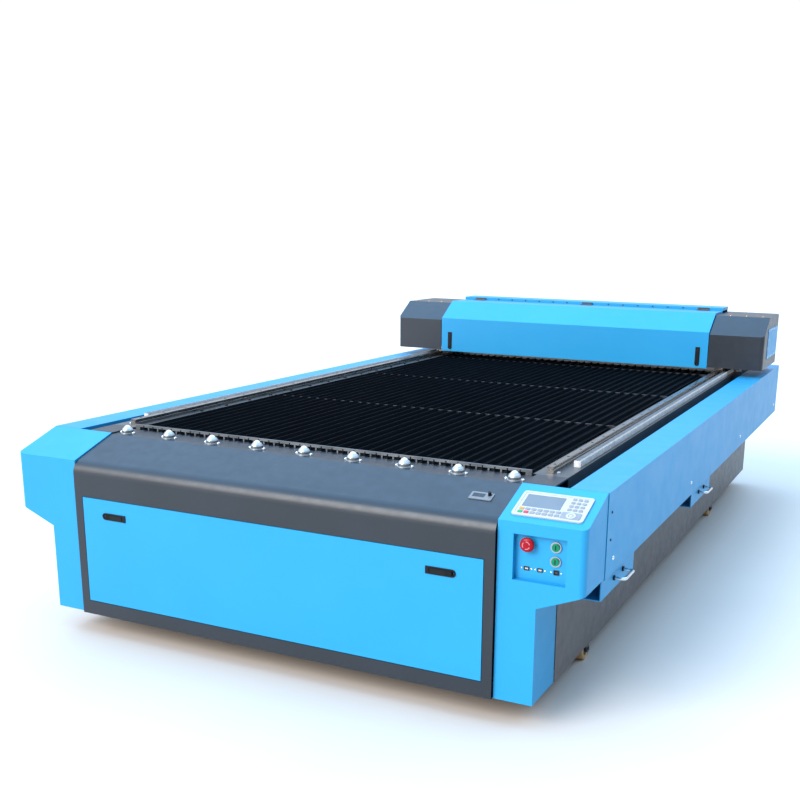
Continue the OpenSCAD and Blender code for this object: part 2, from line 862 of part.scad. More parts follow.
module rail_profile(w, h) {
    c = w / 6;
    polygon([[-w / 2, 0], [w / 2, 0], [w / 2, h * 0.42], [w / 2 - c, h * 0.55],
        [w / 2 - c, h * 0.65], [w / 2, h * 0.78], [w / 2, h - 1], [w / 2 - 1, h],
        [-w / 2 + 1, h], [-w / 2, h - 1], [-w / 2, h * 0.78], [-w / 2 + c, h * 0.65],
        [-w / 2 + c, h * 0.55], [-w / 2, h * 0.42]]);
}

module linear_rails() {
    y0 = fy(325);
    y1 = fy(seat_end - 15);
    pitch = 120;
    color([0.7, 0.71, 0.72]) both_sides() difference() {
        translate([rail_x, 0, seat_z]) xz_prism(y0, y1) rail_profile(rail_s, rail_s);
        for (y = [y0 + 40 : pitch : y1 - 20])
            translate([rail_x, y, seat_z]) {
                translate([0, 0, -eps]) cylinder(r = 3, h = rail_s + 2 * eps, $fn = 24);
                translate([0, 0, rail_s - 9]) cylinder(r = 4.75, h = 9 + eps, $fn = 24);
            }
    }
}

module rack_profile() {
    half_pitch = tooth_p / 4 - backlash / 2;
    tip = half_pitch - addendum * tan(20);
    root = half_pitch + dedendum * tan(20);
    k0 = ceil((rack_y0 + root - pinion_y) / tooth_p - 0.5);
    k1 = floor((rack_y1 - root - pinion_y) / tooth_p - 0.5);
    teeth = [for (k = [k0 : k1]) let (c = pinion_y + (k + 0.5) * tooth_p)
        each [[rack_pitch_x - dedendum, c - root], [rack_tip_x, c - tip], [rack_tip_x, c + tip],
            [rack_pitch_x - dedendum, c + root]]];
    polygon(concat([[rack_tip_x - rack_w, rack_y0], [rack_pitch_x - dedendum, rack_y0]], teeth,
        [[rack_pitch_x - dedendum, rack_y1], [rack_tip_x - rack_w, rack_y1]]));
}

module gear_racks() {
    color([0.5, 0.5, 0.5]) both_sides()
        xy_prism(seat_z, seat_z + rail_s) rack_profile();
}

// Pinion: true involute flanks drawn from the base circle

function involute(rb, a) = rb * [cos(a) + a * PI / 180 * sin(a), sin(a) - a * PI / 180 * cos(a)];
function spin(p, a) = [p[0] * cos(a) - p[1] * sin(a), p[0] * sin(a) + p[1] * cos(a)];

module pinion_profile() {
    rb = pitch_r * cos(20);
    ro = pitch_r + addendum;
    rr = pitch_r - dedendum;
    a_pitch = tan(20) * 180 / PI;
    a_tip = sqrt(pow(ro / rb, 2) - 1) * 180 / PI;
    at_pitch = involute(rb, a_pitch);
    half = 90 / pinion_n - (backlash / 2 / pitch_r) * 180 / PI;
    turn = -half - atan2(at_pitch[1], at_pitch[0]);
    steps = 6;
    low = [for (i = [0 : steps]) spin(involute(rb, a_tip * i / steps), turn)];
    flank = concat([spin([rr, 0], turn)], low);
    tooth = concat(flank, [for (i = [len(flank) - 1 : -1 : 0]) [flank[i][0], -flank[i][1]]]);
    polygon([for (k = [0 : pinion_n - 1]) each [for (p = tooth) spin(p, 360 * k / pinion_n)]]);
}

module pinion() {
    translate([pinion_x, pinion_y, 0]) {
        translate([0, 0, seat_z + 1.5]) linear_extrude(rail_s - 3) difference() {
            rotate(180) pinion_profile();
            circle(r = pinion_shaft_r + 0.4, $fn = 12);
        }
        translate([0, 0, seat_z + 1.5]) cylinder(r = pinion_shaft_r, h = foot_z1 + 18 - seat_z);
    }
}

module right_pinion() {
    color([0.45, 0.45, 0.46]) pinion();
}

module left_pinion() {
    color([0.45, 0.45, 0.46]) mirror([1, 0, 0]) pinion();
}

// Notched bars and the inverted-T slats that slide through them

slat_x0 = -(slat_n - 1) * slat_pitch / 2;
foot_window = slat_foot + 1;
web_window = slat_t + 2 * slat_clear;

module comb_bar(d, top, window_h, web_top) {
    xz_prism(fy(d), fy(d + bar_t)) difference() {
        translate([-seat_x0 + weld_gap, bar_z0])
            square([bed_w - 2 * weld_gap, top - bar_z0]);
        for (i = [0 : slat_n - 1])
            translate([slat_x0 + i * slat_pitch, slat_z]) {
                translate([-foot_window / 2, 0]) square([foot_window, window_h]);
                translate([-web_window / 2, 0]) square([web_window, web_top]);
            }
    }
}

module slat_bars() {
    color([0.5, 0.52, 0.55]) for (i = [0 : len(bar_ds) - 1]) {
        if (i == 0) comb_bar(bar_ds[i], deck_z + comb_h, 11, slat_h + slat_clear);
        else comb_bar(bar_ds[i], bar_top, slat_t + slat_clear, slat_h + eps);
    }
}

module slats() {
    color([0.04, 0.045, 0.06]) for (i = [0 : slat_n - 1])
        translate([slat_x0 + i * slat_pitch, 0, slat_z]) xz_prism(fy(bed_y + 4), fy(bed_y + bed_l - 3)) {
            translate([-slat_foot / 2, 0]) square([slat_foot, slat_t]);
            translate([-slat_t / 2, 0]) square([slat_t, slat_h]);
        }
}

// Ball units on the deck strip

ball_y = fy(slope_d + 36);
ball_r = ball_d / 2;
ball_z = deck_z + ball_top - ball_r;

module each_ball() {
    for (i = [0 : ball_n - 1])
        translate([(i - (ball_n - 1) / 2) * ball_pitch, ball_y, 0]) children();
}

dome_z = 5;
dome_r = cup_d / 2 + 0.6;
dome_top = ball_top - 8;

module ball_cups() {
    color([0.78, 0.8, 0.82]) each_ball() difference() {
        translate([0, 0, deck_z]) {
            linear_extrude(3) {
                circle(cup_d / 2 + 3.5);
                for (s = [-1, 1])
                    translate([s * ear_pitch / 2, 0]) circle(5.5);
            }
            intersection() {
                translate([0, 0, dome_z]) sphere(r = dome_r);
                cylinder(r = cup_d, h = dome_top);
            }
        }
        translate([0, 0, ball_z]) sphere(r = ball_r + loose_gap);
        for (s = [-1, 1])
            translate([s * ear_pitch / 2, 0, deck_z - eps]) cylinder(r = 2.2, h = 6);
    }
}

module transfer_balls() {
    color([0.9, 0.91, 0.92]) each_ball() translate([0, 0, ball_z]) sphere(r = ball_r);
}

// Swivel castors. Local frame: swivel axis at the origin, floor at Z = 0

module fork() {
    inner = wheel_w / 2 + 2.5;
    leg = 4;
    top = castor_top - 8.5;
    axle_z = wheel_d / 2;
    difference() {
        translate([0, 0, top - 4]) cylinder(r = 30, h = 4);
        translate([0, 0, top - 5]) cylinder(r = king_r + run_gap, h = 6);
    }
    for (s = [-1, 1])
        yz_prism(s > 0 ? inner : -inner - leg, s > 0 ? inner + leg : -inner) {
            polygon([[-20, top - 2], [20, top - 2], [castor_trail + 13, axle_z],
                [castor_trail - 13, axle_z]]);
            translate([castor_trail, axle_z]) circle(13);
            polygon([[castor_trail + 6, axle_z + 16], [castor_trail + 46, 64],
                [castor_trail + 46, 69], [castor_trail + 4, axle_z + 26]]);
        }
    translate([0, castor_trail, axle_z]) rod_x(axle_r, -inner - leg - 3, inner + leg + 3);
    block([-inner - leg, castor_trail + 40, 64], [inner + leg, castor_trail + 47, 69]);
}

module wheel() {
    r = wheel_d / 2;
    w = wheel_w / 2;
    translate([0, castor_trail, r]) rotate([0, 90, 0]) rotate_extrude()
        polygon([[axle_r + run_gap, -w - 2], [13, -w - 2], [13, -w + 3], [r - 13, -w + 3],
            [r - 11, -w], [r - 3, -w], [r - 0.8, -w + 2], [r, -w + 5], [r, w - 5],
            [r - 0.8, w - 2], [r - 3, w], [r - 11, w], [r - 13, w - 3], [13, w - 3], [13, w + 2],
            [axle_r + run_gap, w + 2]]);
}

module place_castor(s, d) {
    translate([s * castor_x, fy(d), 0]) children();
}

module fork_front_left() {
    color([0.05, 0.05, 0.05]) place_castor(-1, castor_front) fork();
}

module fork_front_right() {
    color([0.05, 0.05, 0.05]) place_castor(1, castor_front) fork();
}

module fork_rear_left() {
    color([0.05, 0.05, 0.05]) place_castor(-1, castor_rear) fork();
}

module fork_rear_right() {
    color([0.05, 0.05, 0.05]) place_castor(1, castor_rear) fork();
}

module wheel_front_left() {
    color([0.72, 0.5, 0.25]) place_castor(-1, castor_front) wheel();
}

module wheel_front_right() {
    color([0.72, 0.5, 0.25]) place_castor(1, castor_front) wheel();
}

module wheel_rear_left() {
    color([0.72, 0.5, 0.25]) place_castor(-1, castor_rear) wheel();
}

module wheel_rear_right() {
    color([0.72, 0.5, 0.25]) place_castor(1, castor_rear) wheel();
}

// Gantry structure

idler_pin_r = 4;

module gantry_beam() {
    color([0.6, 0.62, 0.64]) {
        tube([-beam_x, beam_y0, beam_z0], [beam_x, beam_y1, beam_z1], 5, 0);
        translate([-pulley_x, pulley_y, beam_z1 - 2]) {
            cylinder(r = idler_pin_r, h = belt_w + 9);
            translate([0, 0, belt_w + 7]) cylinder(r = idler_pin_r + 3, h = 3);
        }
    }
}

module end_plates() {
    color([0.55, 0.57, 0.6]) both_sides() difference() {
        union() {
            block([beam_x, g0 + 60, foot_z0], [end_x1 - sheet_t - weld_gap, g0 + 380, foot_z1]);
            block([beam_x, g0 + 110, foot_z1 - eps], [beam_x + 12, g0 + 320, beam_z1 + 4]);
        }
        translate([pinion_x, pinion_y, foot_z0 - eps]) cylinder(r = pinion_shaft_r + 3, h = 20);
    }
}

module rail_block(y) {
    w = 44;
    gap = 0.4;
    difference() {
        block([rail_x - w / 2, y, seat_z + 5], [rail_x + w / 2, y + 70, foot_z0]);
        block([rail_x - rail_s / 2 - gap, y - eps, seat_z + 5 - eps],
            [rail_x + rail_s / 2 + gap, y + 70 + eps, seat_z + rail_s + gap]);
    }
}

module rail_blocks() {
    color([0.65, 0.66, 0.68]) both_sides() {
        rail_block(g0 + 75);
        rail_block(g0 + 295);
    }
}

x_rail_s = 15;
x_rail_h = 12;
x_rail_z = beam_z0 + 66;

module x_rail() {
    color([0.72, 0.73, 0.75])
        yz_prism(-beam_x + 30, beam_x - 30)
            translate([beam_y0, x_rail_z]) rotate(90) rail_profile(x_rail_s, x_rail_h);
}

// Gantry covers: one chamfered profile for the hinged cover and the end covers

module gantry_outline(t, z0, depth) {
    c = atan(chamfer_h / chamfer_d);
    y_top = chamfer_d + t * (1 / cos(c) - 1) / tan(c);
    polygon([[g0 + t, z0], [g0 + t, cover_z1 + t * tan(c) - t / cos(c)],
        [g0 + y_top, cover_z2 - t], [g0 + depth, cover_z2 - t], [g0 + depth, z0]]);
}

module gantry_cover() {
    x = cover_w / 2;
    cheek = 20;
    depth = hinge_d - 4;
    color([0.2, 0.72, 0.97]) difference() {
        union() {
            yz_prism(-x, x) difference() {
                gantry_outline(0, cover_z0, depth);
                gantry_outline(sheet_t, cover_z0 - eps, depth + eps);
            }
            both_sides() yz_prism(x - sheet_t, x) difference() {
                gantry_outline(0, cover_z0, depth);
                gantry_outline(cheek, cover_z0 - eps, depth + eps);
            }
            block([-x, g0, cover_z0], [x, g0 + 12, cover_z0 + sheet_t]);
        }
        both_sides() place_cover_latch() latch_hole();
    }
}

knuckle_l = 15;
knuckle_gap = 0.5;

module cover_hinges() {
    mid = hinge_l / 2 - knuckle_l - knuckle_gap;
    color([0.04, 0.04, 0.045]) for (x = hinge_xs)
        translate([x, hinge_y, hinge_z]) {
            rod_x(hinge_r, -mid, mid);
            rod_x(hinge_pin_r, -hinge_l / 2, hinge_l / 2);
            block([-mid, 0, -2], [mid, hinge_r + 1, 2]);
            block([-hinge_l / 2, hinge_r + 0.7, -16], [hinge_l / 2, hinge_r + 2.7, 9]);
        }
}

module cover_hinge_leaves() {
    color([0.04, 0.04, 0.045]) for (x = hinge_xs)
        translate([x, hinge_y, hinge_z]) difference() {
            union() {
                for (s = [-1, 1])
                    rod_x(hinge_r, s > 0 ? hinge_l / 2 - knuckle_l : -hinge_l / 2,
                        s > 0 ? hinge_l / 2 : -hinge_l / 2 + knuckle_l);
                block([-hinge_l / 2, -30, -3], [-hinge_l / 2 + knuckle_l, 0, -0.8]);
                block([hinge_l / 2 - knuckle_l, -30, -3], [hinge_l / 2, 0, -0.8]);
                block([-hinge_l / 2, -30, -3], [hinge_l / 2, -7, -0.8]);
            }
            rod_x(hinge_pin_r + run_gap, -hinge_l, hinge_l);
            rod_x(hinge_r + 0.4, -hinge_l / 2 + knuckle_l, hinge_l / 2 - knuckle_l);
        }
}

end_drop = 10;

module end_solid(t) {
    r = 20 - t;
    z0 = t > 0 ? foot_z0 + 2 - eps : foot_z0 + 2;
    x0 = t > 0 ? end_x0 - eps : end_x0;
    x1 = end_x1 - t;
    y0 = g0 + t;
    y1 = g0 + gantry_d - t;
    intersection() {
        yz_prism(x0, x1) translate([0, -end_drop]) gantry_outline(t, z0 + end_drop, gantry_d - t);
        xy_prism(z0 - eps, cover_z2 + eps) {
            translate([x0 - eps, y0]) square([x1 - r - x0 + eps, y1 - y0]);
            translate([x0 - eps, y0 + r]) square([x1 - x0 + eps, y1 - y0 - 2 * r]);
            translate([x1 - r, y0 + r]) circle(r);
            translate([x1 - r, y1 - r]) circle(r);
        }
    }
}

access_y0 = g0 + 113;
access_y1 = g0 + 405;
access_z0 = cover_z0 + 50;
access_z1 = access_z0 + 145;

module end_covers() {
    lip = 16;
    color([0.22, 0.23, 0.25]) both_sides() difference() {
        end_solid(0);
        end_solid(sheet_t);
        block([end_x1 - 10, access_y0 + lip, access_z0 + lip],
            [end_x1 + eps, access_y1 - lip, access_z1 - lip]);
    }
}

module end_access_plates() {
    color([0.2, 0.66, 0.92]) both_sides()
        block([end_x1, access_y0, access_z0], [end_x1 + sheet_t, access_y1, access_z1]);
}

// Tube housing behind the beam, with a lid that ends at the end covers

module tube_housing() {
    x = cover_w / 2;
    lap = x + 1;
    y0 = hinge_y + hinge_r + 2.7;
    y1 = g0 + gantry_d;
    t = sheet_t;
    color([0.2, 0.72, 0.97]) {
        block([-x, y1 - t, beam_z0 - 50], [x, y1, lid_z - t / 2]);
        block([-x + 6, beam_y1 + weld_gap, beam_z0], [x - 6, y1 - t / 2, beam_z0 + t]);
        difference() {
            block([-lap, y0, cover_z2 + 1], [lap, y1 + t, lid_z]);
            block([-lap + t, y0 + t, cover_z2], [lap - t, y1, lid_z - t]);
        }
        block([-x, y0, cover_z2 - 20], [x, y0 + t, cover_z2 + 2]);
    }
}

tube_y = g0 + 372;
tube_z = beam_z0 + 90;
tube_l = 1280;

module laser_tube() {
    r = tube_d / 2;
    color([0.75, 0.82, 0.85]) {
        translate([0, tube_y, tube_z]) {
            rod_x(r, -tube_l / 2, tube_l / 2);
            rod_x(r * 0.55, -tube_l / 2 - 25, tube_l / 2 + 25);
        }
        for (s = [-1, 1])
            translate([s * 420, 0, 0]) difference() {
                block([-20, tube_y - r - 6, beam_z0 + sheet_t], [20, tube_y + r + 6, tube_z]);
                translate([0, tube_y, tube_z]) rod_x(r + weld_gap, -30, 30);
            }
    }
}

// Drives: two gear motors on the feet, one belt motor on the beam

module y_motor() {
    translate([pinion_x, pinion_y, foot_z1]) difference() {
        union() {
            block([-30, -30, 0], [30, 30, 42]);
            translate([0, 0, 42 - eps]) cylinder(r = 26, h = 6);
            block([-28, -28, 47], [28, 28, 120]);
        }
        translate([0, 0, -eps]) cylinder(r = pinion_shaft_r + run_gap, h = 24);
    }
}

module x_motor() {
    z = belt_z + belt_w + 5;
    translate([pulley_x, pulley_y, 0]) {
        block([-28, 28, beam_z1], [28, 34, z + 4]);
        block([-28, -28, z], [28, 34, z + 4]);
        block([-28, -28, z + 3], [28, 28, z + 48]);
        translate([0, 0, belt_z + 2]) cylinder(r = idler_pin_r, h = z - belt_z);
    }
}

module motors() {
    color([0.07, 0.07, 0.08]) {
        both_sides() y_motor();
        x_motor();
    }
}

module belt_loop(r) {
    for (s = [-1, 1])
        translate([s * pulley_x, pulley_y]) circle(r);
    translate([-pulley_x, pulley_y - r]) square([2 * pulley_x, 2 * r]);
}

module x_belt() {
    color([0.03, 0.03, 0.03]) xy_prism(belt_z, belt_z + belt_w) difference() {
        belt_loop(pulley_r + belt_gap + belt_t);
        belt_loop(pulley_r + belt_gap);
    }
}

module pulley() {
    translate([0, pulley_y, belt_z - 1]) difference() {
        union() {
            cylinder(r = pulley_r, h = belt_w + 2);
            translate([0, 0, belt_w + 1.5]) cylinder(r = pulley_r + 3, h = 1.5);
        }
        translate([0, 0, -eps]) cylinder(r = idler_pin_r + run_gap, h = 30);
        for (a = [0 : 60 : 300])
            rotate(a) translate([8, 0, belt_w + 0.5]) cylinder(r = 1.5, h = 5, $fn = 24);
    }
}

module drive_pulley() {
    color([0.7, 0.71, 0.73]) translate([pulley_x, 0, 0]) pulley();
}

module idler_pulley() {
    color([0.7, 0.71, 0.73]) translate([-pulley_x, 0, 0]) pulley();
}

// Laser head on its carriage

head_y = g0 + 78;
nozzle_z = slat_top + nozzle_gap;
plate_y0 = g0 + 114;

module head_carriage() {
    gap = 0.4;
    front = beam_y0 - x_rail_h - gap;
    z = x_rail_z;
    color([0.3, 0.31, 0.33]) translate([head_x, 0, 0]) difference() {
        union() {
            block([-32, front - 12, z - 24], [32, beam_y0 - 2, z + 24]);
            block([-45, plate_y0, beam_z0 + 4], [45, front - 11, beam_z1 + 14]);
            block([-15, plate_y0, belt_z + 2], [15, pulley_y - pulley_r - belt_gap - belt_t - loose_gap,
                belt_z + belt_w]);
            block([-22, head_y + 20, z - 16], [22, plate_y0 + eps, z + 16]);
        }
        block([-60, front, z - x_rail_s / 2 - gap], [60, beam_y0, z + x_rail_s / 2 + gap]);
    }
}

module laser_head() {
    z = x_rail_z;
    top_z = z + 22;
    color([0.62, 0.64, 0.67]) translate([head_x, head_y, 0]) difference() {
        union() {
            block([-20, -20, z - 22], [20, 20, top_z]);
            translate([0, 0, nozzle_z]) rotate_extrude() polygon([[0, 0], [3.2, 0], [4.2, 1],
                [9, 20], [12, 24], [12, 34], [16, 36], [16, 60], [18, 60], [18, 66], [15, 67],
                [15, z - 21 - nozzle_z], [0, z - 21 - nozzle_z]]);
        }
        translate([0, 0, nozzle_z - eps]) cylinder(r = 1.2, h = 14, $fn = 24);
        translate([0, 0, z]) rotate([0, 45, 0]) block([-2, -30, 18], [60, 30, 60]);
    }
}

base_frame();
front_panel();
left_wing();
right_wing();
side_covers();
side_skirts();
rear_panel();
side_brackets();
grab_handles();
waste_pan();
electrics();
linear_rails();
gear_racks();
slat_bars();
slats();
ball_cups();
transfer_balls();
keypad_body();
keypad_display();
panel_rings();
data_sockets();
power_meter();
stop_head();
start_button();
laser_button();
meter_knob();
fork_front_left();
fork_front_right();
fork_rear_left();
fork_rear_right();
wheel_front_left();
wheel_front_right();
wheel_rear_left();
wheel_rear_right();
front_door();
door_latch_housings();
door_latch_left();
door_latch_right();
gantry_beam();
end_plates();
rail_blocks();
x_rail();
end_covers();
end_access_plates();
tube_housing();
laser_tube();
motors();
x_belt();
cover_hinges();
left_pinion();
right_pinion();
drive_pulley();
idler_pulley();
gantry_cover();
cover_hinge_leaves();
cover_latch_housings();
cover_latch_left();
cover_latch_right();
head_carriage();
laser_head();
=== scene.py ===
"""Flat-bed laser cutting machine: finishes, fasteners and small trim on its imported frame, in metres."""
import math

import bpy
import numpy as np
from mathutils import Matrix, Vector


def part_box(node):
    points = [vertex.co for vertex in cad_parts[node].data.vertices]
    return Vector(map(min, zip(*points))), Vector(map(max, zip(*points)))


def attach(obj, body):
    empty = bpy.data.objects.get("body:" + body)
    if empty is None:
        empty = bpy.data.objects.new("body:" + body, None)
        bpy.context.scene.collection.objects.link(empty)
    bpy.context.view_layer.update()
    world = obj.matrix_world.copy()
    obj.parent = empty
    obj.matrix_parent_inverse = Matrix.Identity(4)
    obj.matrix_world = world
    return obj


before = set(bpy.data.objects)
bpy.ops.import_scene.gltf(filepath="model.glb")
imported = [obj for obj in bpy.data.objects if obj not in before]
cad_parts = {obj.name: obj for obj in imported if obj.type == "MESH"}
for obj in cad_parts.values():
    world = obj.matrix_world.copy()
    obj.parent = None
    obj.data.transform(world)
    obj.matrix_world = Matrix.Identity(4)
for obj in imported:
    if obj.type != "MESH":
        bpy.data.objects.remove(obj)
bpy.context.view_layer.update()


# Blue sheet metal: wings, side covers, side brackets, door, gantry cover, lid and access plates are folded
# from 2 mm mild steel and powder coated in one satin blue, which shows a fine orange peel.

def new_finish(name, colour, rough, metal=0.0, gloss=0.5):
    """A plain finish: its material, with the shader's own sockets holding the values."""
    material = bpy.data.materials.new(name)
    material.use_nodes = True
    shader = material.node_tree.nodes["Principled BSDF"]
    shader.inputs["Base Color"].default_value = (*colour, 1.0)
    shader.inputs["Roughness"].default_value = rough
    shader.inputs["Metallic"].default_value = metal
    shader.inputs["Specular IOR Level"].default_value = gloss
    return material


def grain(material, scale, stretch=(1.0, 1.0, 1.0), detail=3.0):
    """A noise field read at Object coordinates times stretch; scale is in lumps to a metre."""
    nodes, links = material.node_tree.nodes, material.node_tree.links
    place = nodes.new("ShaderNodeTexCoord")
    turn = nodes.new("ShaderNodeMapping")
    turn.inputs["Scale"].default_value = stretch
    noise = nodes.new("ShaderNodeTexNoise")
    noise.inputs["Scale"].default_value = scale
    noise.inputs["Detail"].default_value = detail
    links.new(place.outputs["Object"], turn.inputs["Vector"])
    links.new(turn.outputs["Vector"], noise.inputs["Vector"])
    return noise.outputs["Fac"]


def tint(material, field, low, high, start=0.35, end=0.65):
    """Base colour that runs from low to high as the field goes from start to end."""
    ramp = material.node_tree.nodes.new("ShaderNodeValToRGB")
    first, last = ramp.color_ramp.elements
    first.position, first.color = start, (*low, 1.0)
    last.position, last.color = end, (*high, 1.0)
    material.node_tree.links.new(field, ramp.inputs["Fac"])
    shader = material.node_tree.nodes["Principled BSDF"]
    material.node_tree.links.new(ramp.outputs["Color"], shader.inputs["Base Color"])


def sheen_map(material, field, low, high):
    """Roughness that runs from low to high as the field goes from 0.3 to 0.7."""
    spread = material.node_tree.nodes.new("ShaderNodeMapRange")
    spread.inputs["From Min"].default_value = 0.3
    spread.inputs["From Max"].default_value = 0.7
    spread.inputs["To Min"].default_value = low
    spread.inputs["To Max"].default_value = high
    material.node_tree.links.new(field, spread.inputs["Value"])
    shader = material.node_tree.nodes["Principled BSDF"]
    material.node_tree.links.new(spread.outputs["Result"], shader.inputs["Roughness"])


def relief(material, field, depth, strength):
    """Bump of that depth in metres and that strength from the field."""
    bump = material.node_tree.nodes.new("ShaderNodeBump")
    bump.inputs["Strength"].default_value = strength
    bump.inputs["Distance"].default_value = depth
    material.node_tree.links.new(field, bump.inputs["Height"])
    shader = material.node_tree.nodes["Principled BSDF"]
    material.node_tree.links.new(bump.outputs["Normal"], shader.inputs["Normal"])


def dress(node, finish, *others):
    """Puts a finish on a CAD node. Each of others is (finish, test): it takes the faces whose centre and
    normal, as arrays of rows, pass the test."""
    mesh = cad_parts[node].data
    mesh.materials.clear()
    mesh.materials.append(finish)
    index = np.zeros(len(mesh.polygons), np.int32)
    centre = np.zeros(3 * len(index), np.float32)
    normal = np.zeros(3 * len(index), np.float32)
    mesh.polygons.foreach_get("center", centre)
    mesh.polygons.foreach_get("normal", normal)
    for other, test in others:
        mesh.materials.append(other)
        index[test(centre.reshape(-1, 3), normal.reshape(-1, 3))] = len(mesh.materials) - 1
    mesh.polygons.foreach_set("material_index", index)


blue_coat = new_finish("blue_coat", (0.006, 0.255, 0.5), 0.42, gloss=0.4)
tint(blue_coat, grain(blue_coat, 3.0), (0.005, 0.25, 0.492), (0.007, 0.26, 0.508))
sheen_map(blue_coat, grain(blue_coat, 14.0), 0.38, 0.46)
relief(blue_coat, grain(blue_coat, 420.0, detail=1.0), 0.00003, 0.1)
for sheet in ("left_wing", "right_wing", "side_covers", "side_brackets", "front_door", "gantry_cover",
              "end_access_plates", "tube_housing"):
    dress(sheet, blue_coat)


# Dark sheet metal: front panel and gantry end covers have a charcoal satin powder coat with a fine grit,
# skirts and rear panel a browner one. The exhaust collars on the rear panel are rolled from galvanised strip.
# The pan under the bed is coloured a blotchy near black: painted shade for the dark under the slats.

charcoal_coat = new_finish("charcoal_coat", (0.007, 0.012, 0.019), 0.38)
tint(charcoal_coat, grain(charcoal_coat, 5.0), (0.006, 0.0105, 0.017), (0.008, 0.0135, 0.021))
sheen_map(charcoal_coat, grain(charcoal_coat, 30.0), 0.34, 0.42)
relief(charcoal_coat, grain(charcoal_coat, 900.0, detail=2.0), 0.0001, 0.2)
galvanised = new_finish("galvanised", (0.56, 0.58, 0.6), 0.4, 0.9)
tint(galvanised, grain(galvanised, 60.0, detail=6.0), (0.46, 0.48, 0.5), (0.66, 0.68, 0.7))
sheen_map(galvanised, grain(galvanised, 45.0, detail=5.0), 0.3, 0.52)
skirt_coat = new_finish("skirt_coat", (0.078, 0.067, 0.064), 0.42)
tint(skirt_coat, grain(skirt_coat, 4.0), (0.072, 0.062, 0.059), (0.084, 0.072, 0.068))
sheen_map(skirt_coat, grain(skirt_coat, 30.0), 0.36, 0.48)
relief(skirt_coat, grain(skirt_coat, 900.0, detail=2.0), 0.0001, 0.2)
for sheet in ("front_panel", "end_covers"):
    dress(sheet, charcoal_coat)
dress("side_skirts", skirt_coat)
collars_from = 1.618
dress("rear_panel", skirt_coat, (galvanised, lambda c, n: c[:, 1] > collars_from))
# The pan's near-black colour is painted shade for the dark under the slats.
pan_painted_shade = new_finish("pan_painted_shade", (0.02, 0.02, 0.022), 0.6, 0.3)
tint(pan_painted_shade, grain(pan_painted_shade, 8.0, detail=6.0), (0.008, 0.008, 0.009), (0.05, 0.048, 0.046))
sheen_map(pan_painted_shade, grain(pan_painted_shade, 20.0), 0.5, 0.75)
dress("waste_pan", pan_painted_shade)


# Side cover screws: zinc button heads, one metre apart along the lower edge of each side cover, and two small
# dark ones beside the seam with the wing. Each has a socket sunk in its head.

def skin(rings):
    """Rings of points, lowest first and anticlockwise seen from above, as (pieces, rings, points, 3). Quads
    join each ring to the next, and a flat face closes each end."""
    count, high, round_ = rings.shape[:3]
    near = np.arange(count * high * round_).reshape(count, high, round_)
    far = np.roll(near, -1, axis=2)
    walls = np.stack([near[:, :-1], far[:, :-1], far[:, 1:], near[:, 1:]], -1).reshape(-1, 4)
    return rings.reshape(-1, 3), walls.tolist() + near[:, 0, ::-1].tolist() + near[:, -1].tolist()


def axes_of(axis):
    """Two unit vectors u and v at right angles to the unit axis w, so that u, v, w is right-handed."""
    w = np.asarray(axis, float) / np.linalg.norm(axis)
    u = np.cross((0.0, 0.0, 1.0) if abs(w[2]) < 0.9 else (1.0, 0.0, 0.0), w)
    u = u / np.linalg.norm(u)
    return u, np.cross(w, u), w


def turned(profile, seats, axis, sides=14):
    """Lathe work: at each seat, radius r and height h of the profile give the ring of points
    seat + r (cos t u + sin t v) + h w, where w is the axis."""
    profile, seats = np.asarray(profile, float), np.asarray(seats, float).reshape(-1, 3)
    u, v, w = axes_of(axis)
    t = np.linspace(0.0, 2.0 * np.pi, sides, endpoint=False)
    spoke = np.cos(t)[:, None] * u + np.sin(t)[:, None] * v
    one = profile[:, 0, None, None] * spoke + profile[:, 1, None, None] * w
    return seats[:, None, None, :] + one[None]


def piece(name, rings, finish, body):
    """A closed piece made from rings, dressed, smooth except at its edges, and riding on a body."""
    points, faces = skin(rings)
    mesh = bpy.data.meshes.new(name)
    mesh.from_pydata(points.tolist(), [], faces)
    mesh.materials.append(finish)
    mesh.polygons.foreach_set("use_smooth", np.ones(len(mesh.polygons), bool))
    mesh.set_sharp_from_angle(angle=math.radians(32.0))
    thing = bpy.data.objects.new(name, mesh)
    bpy.context.scene.collection.objects.link(thing)
    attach(thing, body)


def button_head(r):
    """Profile of a domed screw head of radius r with a round socket sunk in its top."""
    return np.array([(1.0, -0.12), (1.0, 0.12), (0.86, 0.42), (0.6, 0.6), (0.42, 0.62), (0.4, 0.2)]) * r


def mirrored(seats):
    """The seats, and their mirror images across the machine's middle plane."""
    seats = np.asarray(seats, float).reshape(-1, 3)
    return seats, seats * (-1.0, 1.0, 1.0)


bright_zinc = new_finish("bright_zinc", (0.78, 0.8, 0.83), 0.22, 0.95)
tint(bright_zinc, grain(bright_zinc, 80.0, detail=4.0), (0.72, 0.75, 0.79), (0.84, 0.86, 0.88))
sheen_map(bright_zinc, grain(bright_zinc, 90.0), 0.16, 0.32)
dark_oxide = new_finish("dark_oxide", (0.03, 0.03, 0.032), 0.38, 0.7)
tint(dark_oxide, grain(dark_oxide, 200.0, detail=4.0), (0.02, 0.02, 0.022), (0.05, 0.048, 0.046))
sheen_map(dark_oxide, grain(dark_oxide, 150.0), 0.3, 0.5)
cover_x, cover_edge_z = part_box("side_covers")[1][0], 0.450
cover_right, cover_left = mirrored([(cover_x, y, cover_edge_z) for y in (-1.412, -0.416, 0.580, 1.576)])
seam_right, seam_left = mirrored([(cover_x, -1.445, 0.589), (cover_x, -1.447, 0.511)])
cover_screw, seam_screw = button_head(0.0065), button_head(0.0042)
piece("side_screws_right", turned(cover_screw, cover_right, (1, 0, 0)), bright_zinc, "machine")
piece("side_screws_left", turned(cover_screw, cover_left, (-1, 0, 0)), bright_zinc, "machine")
piece("seam_screws_right", turned(seam_screw, seam_right, (1, 0, 0)), dark_oxide, "machine")
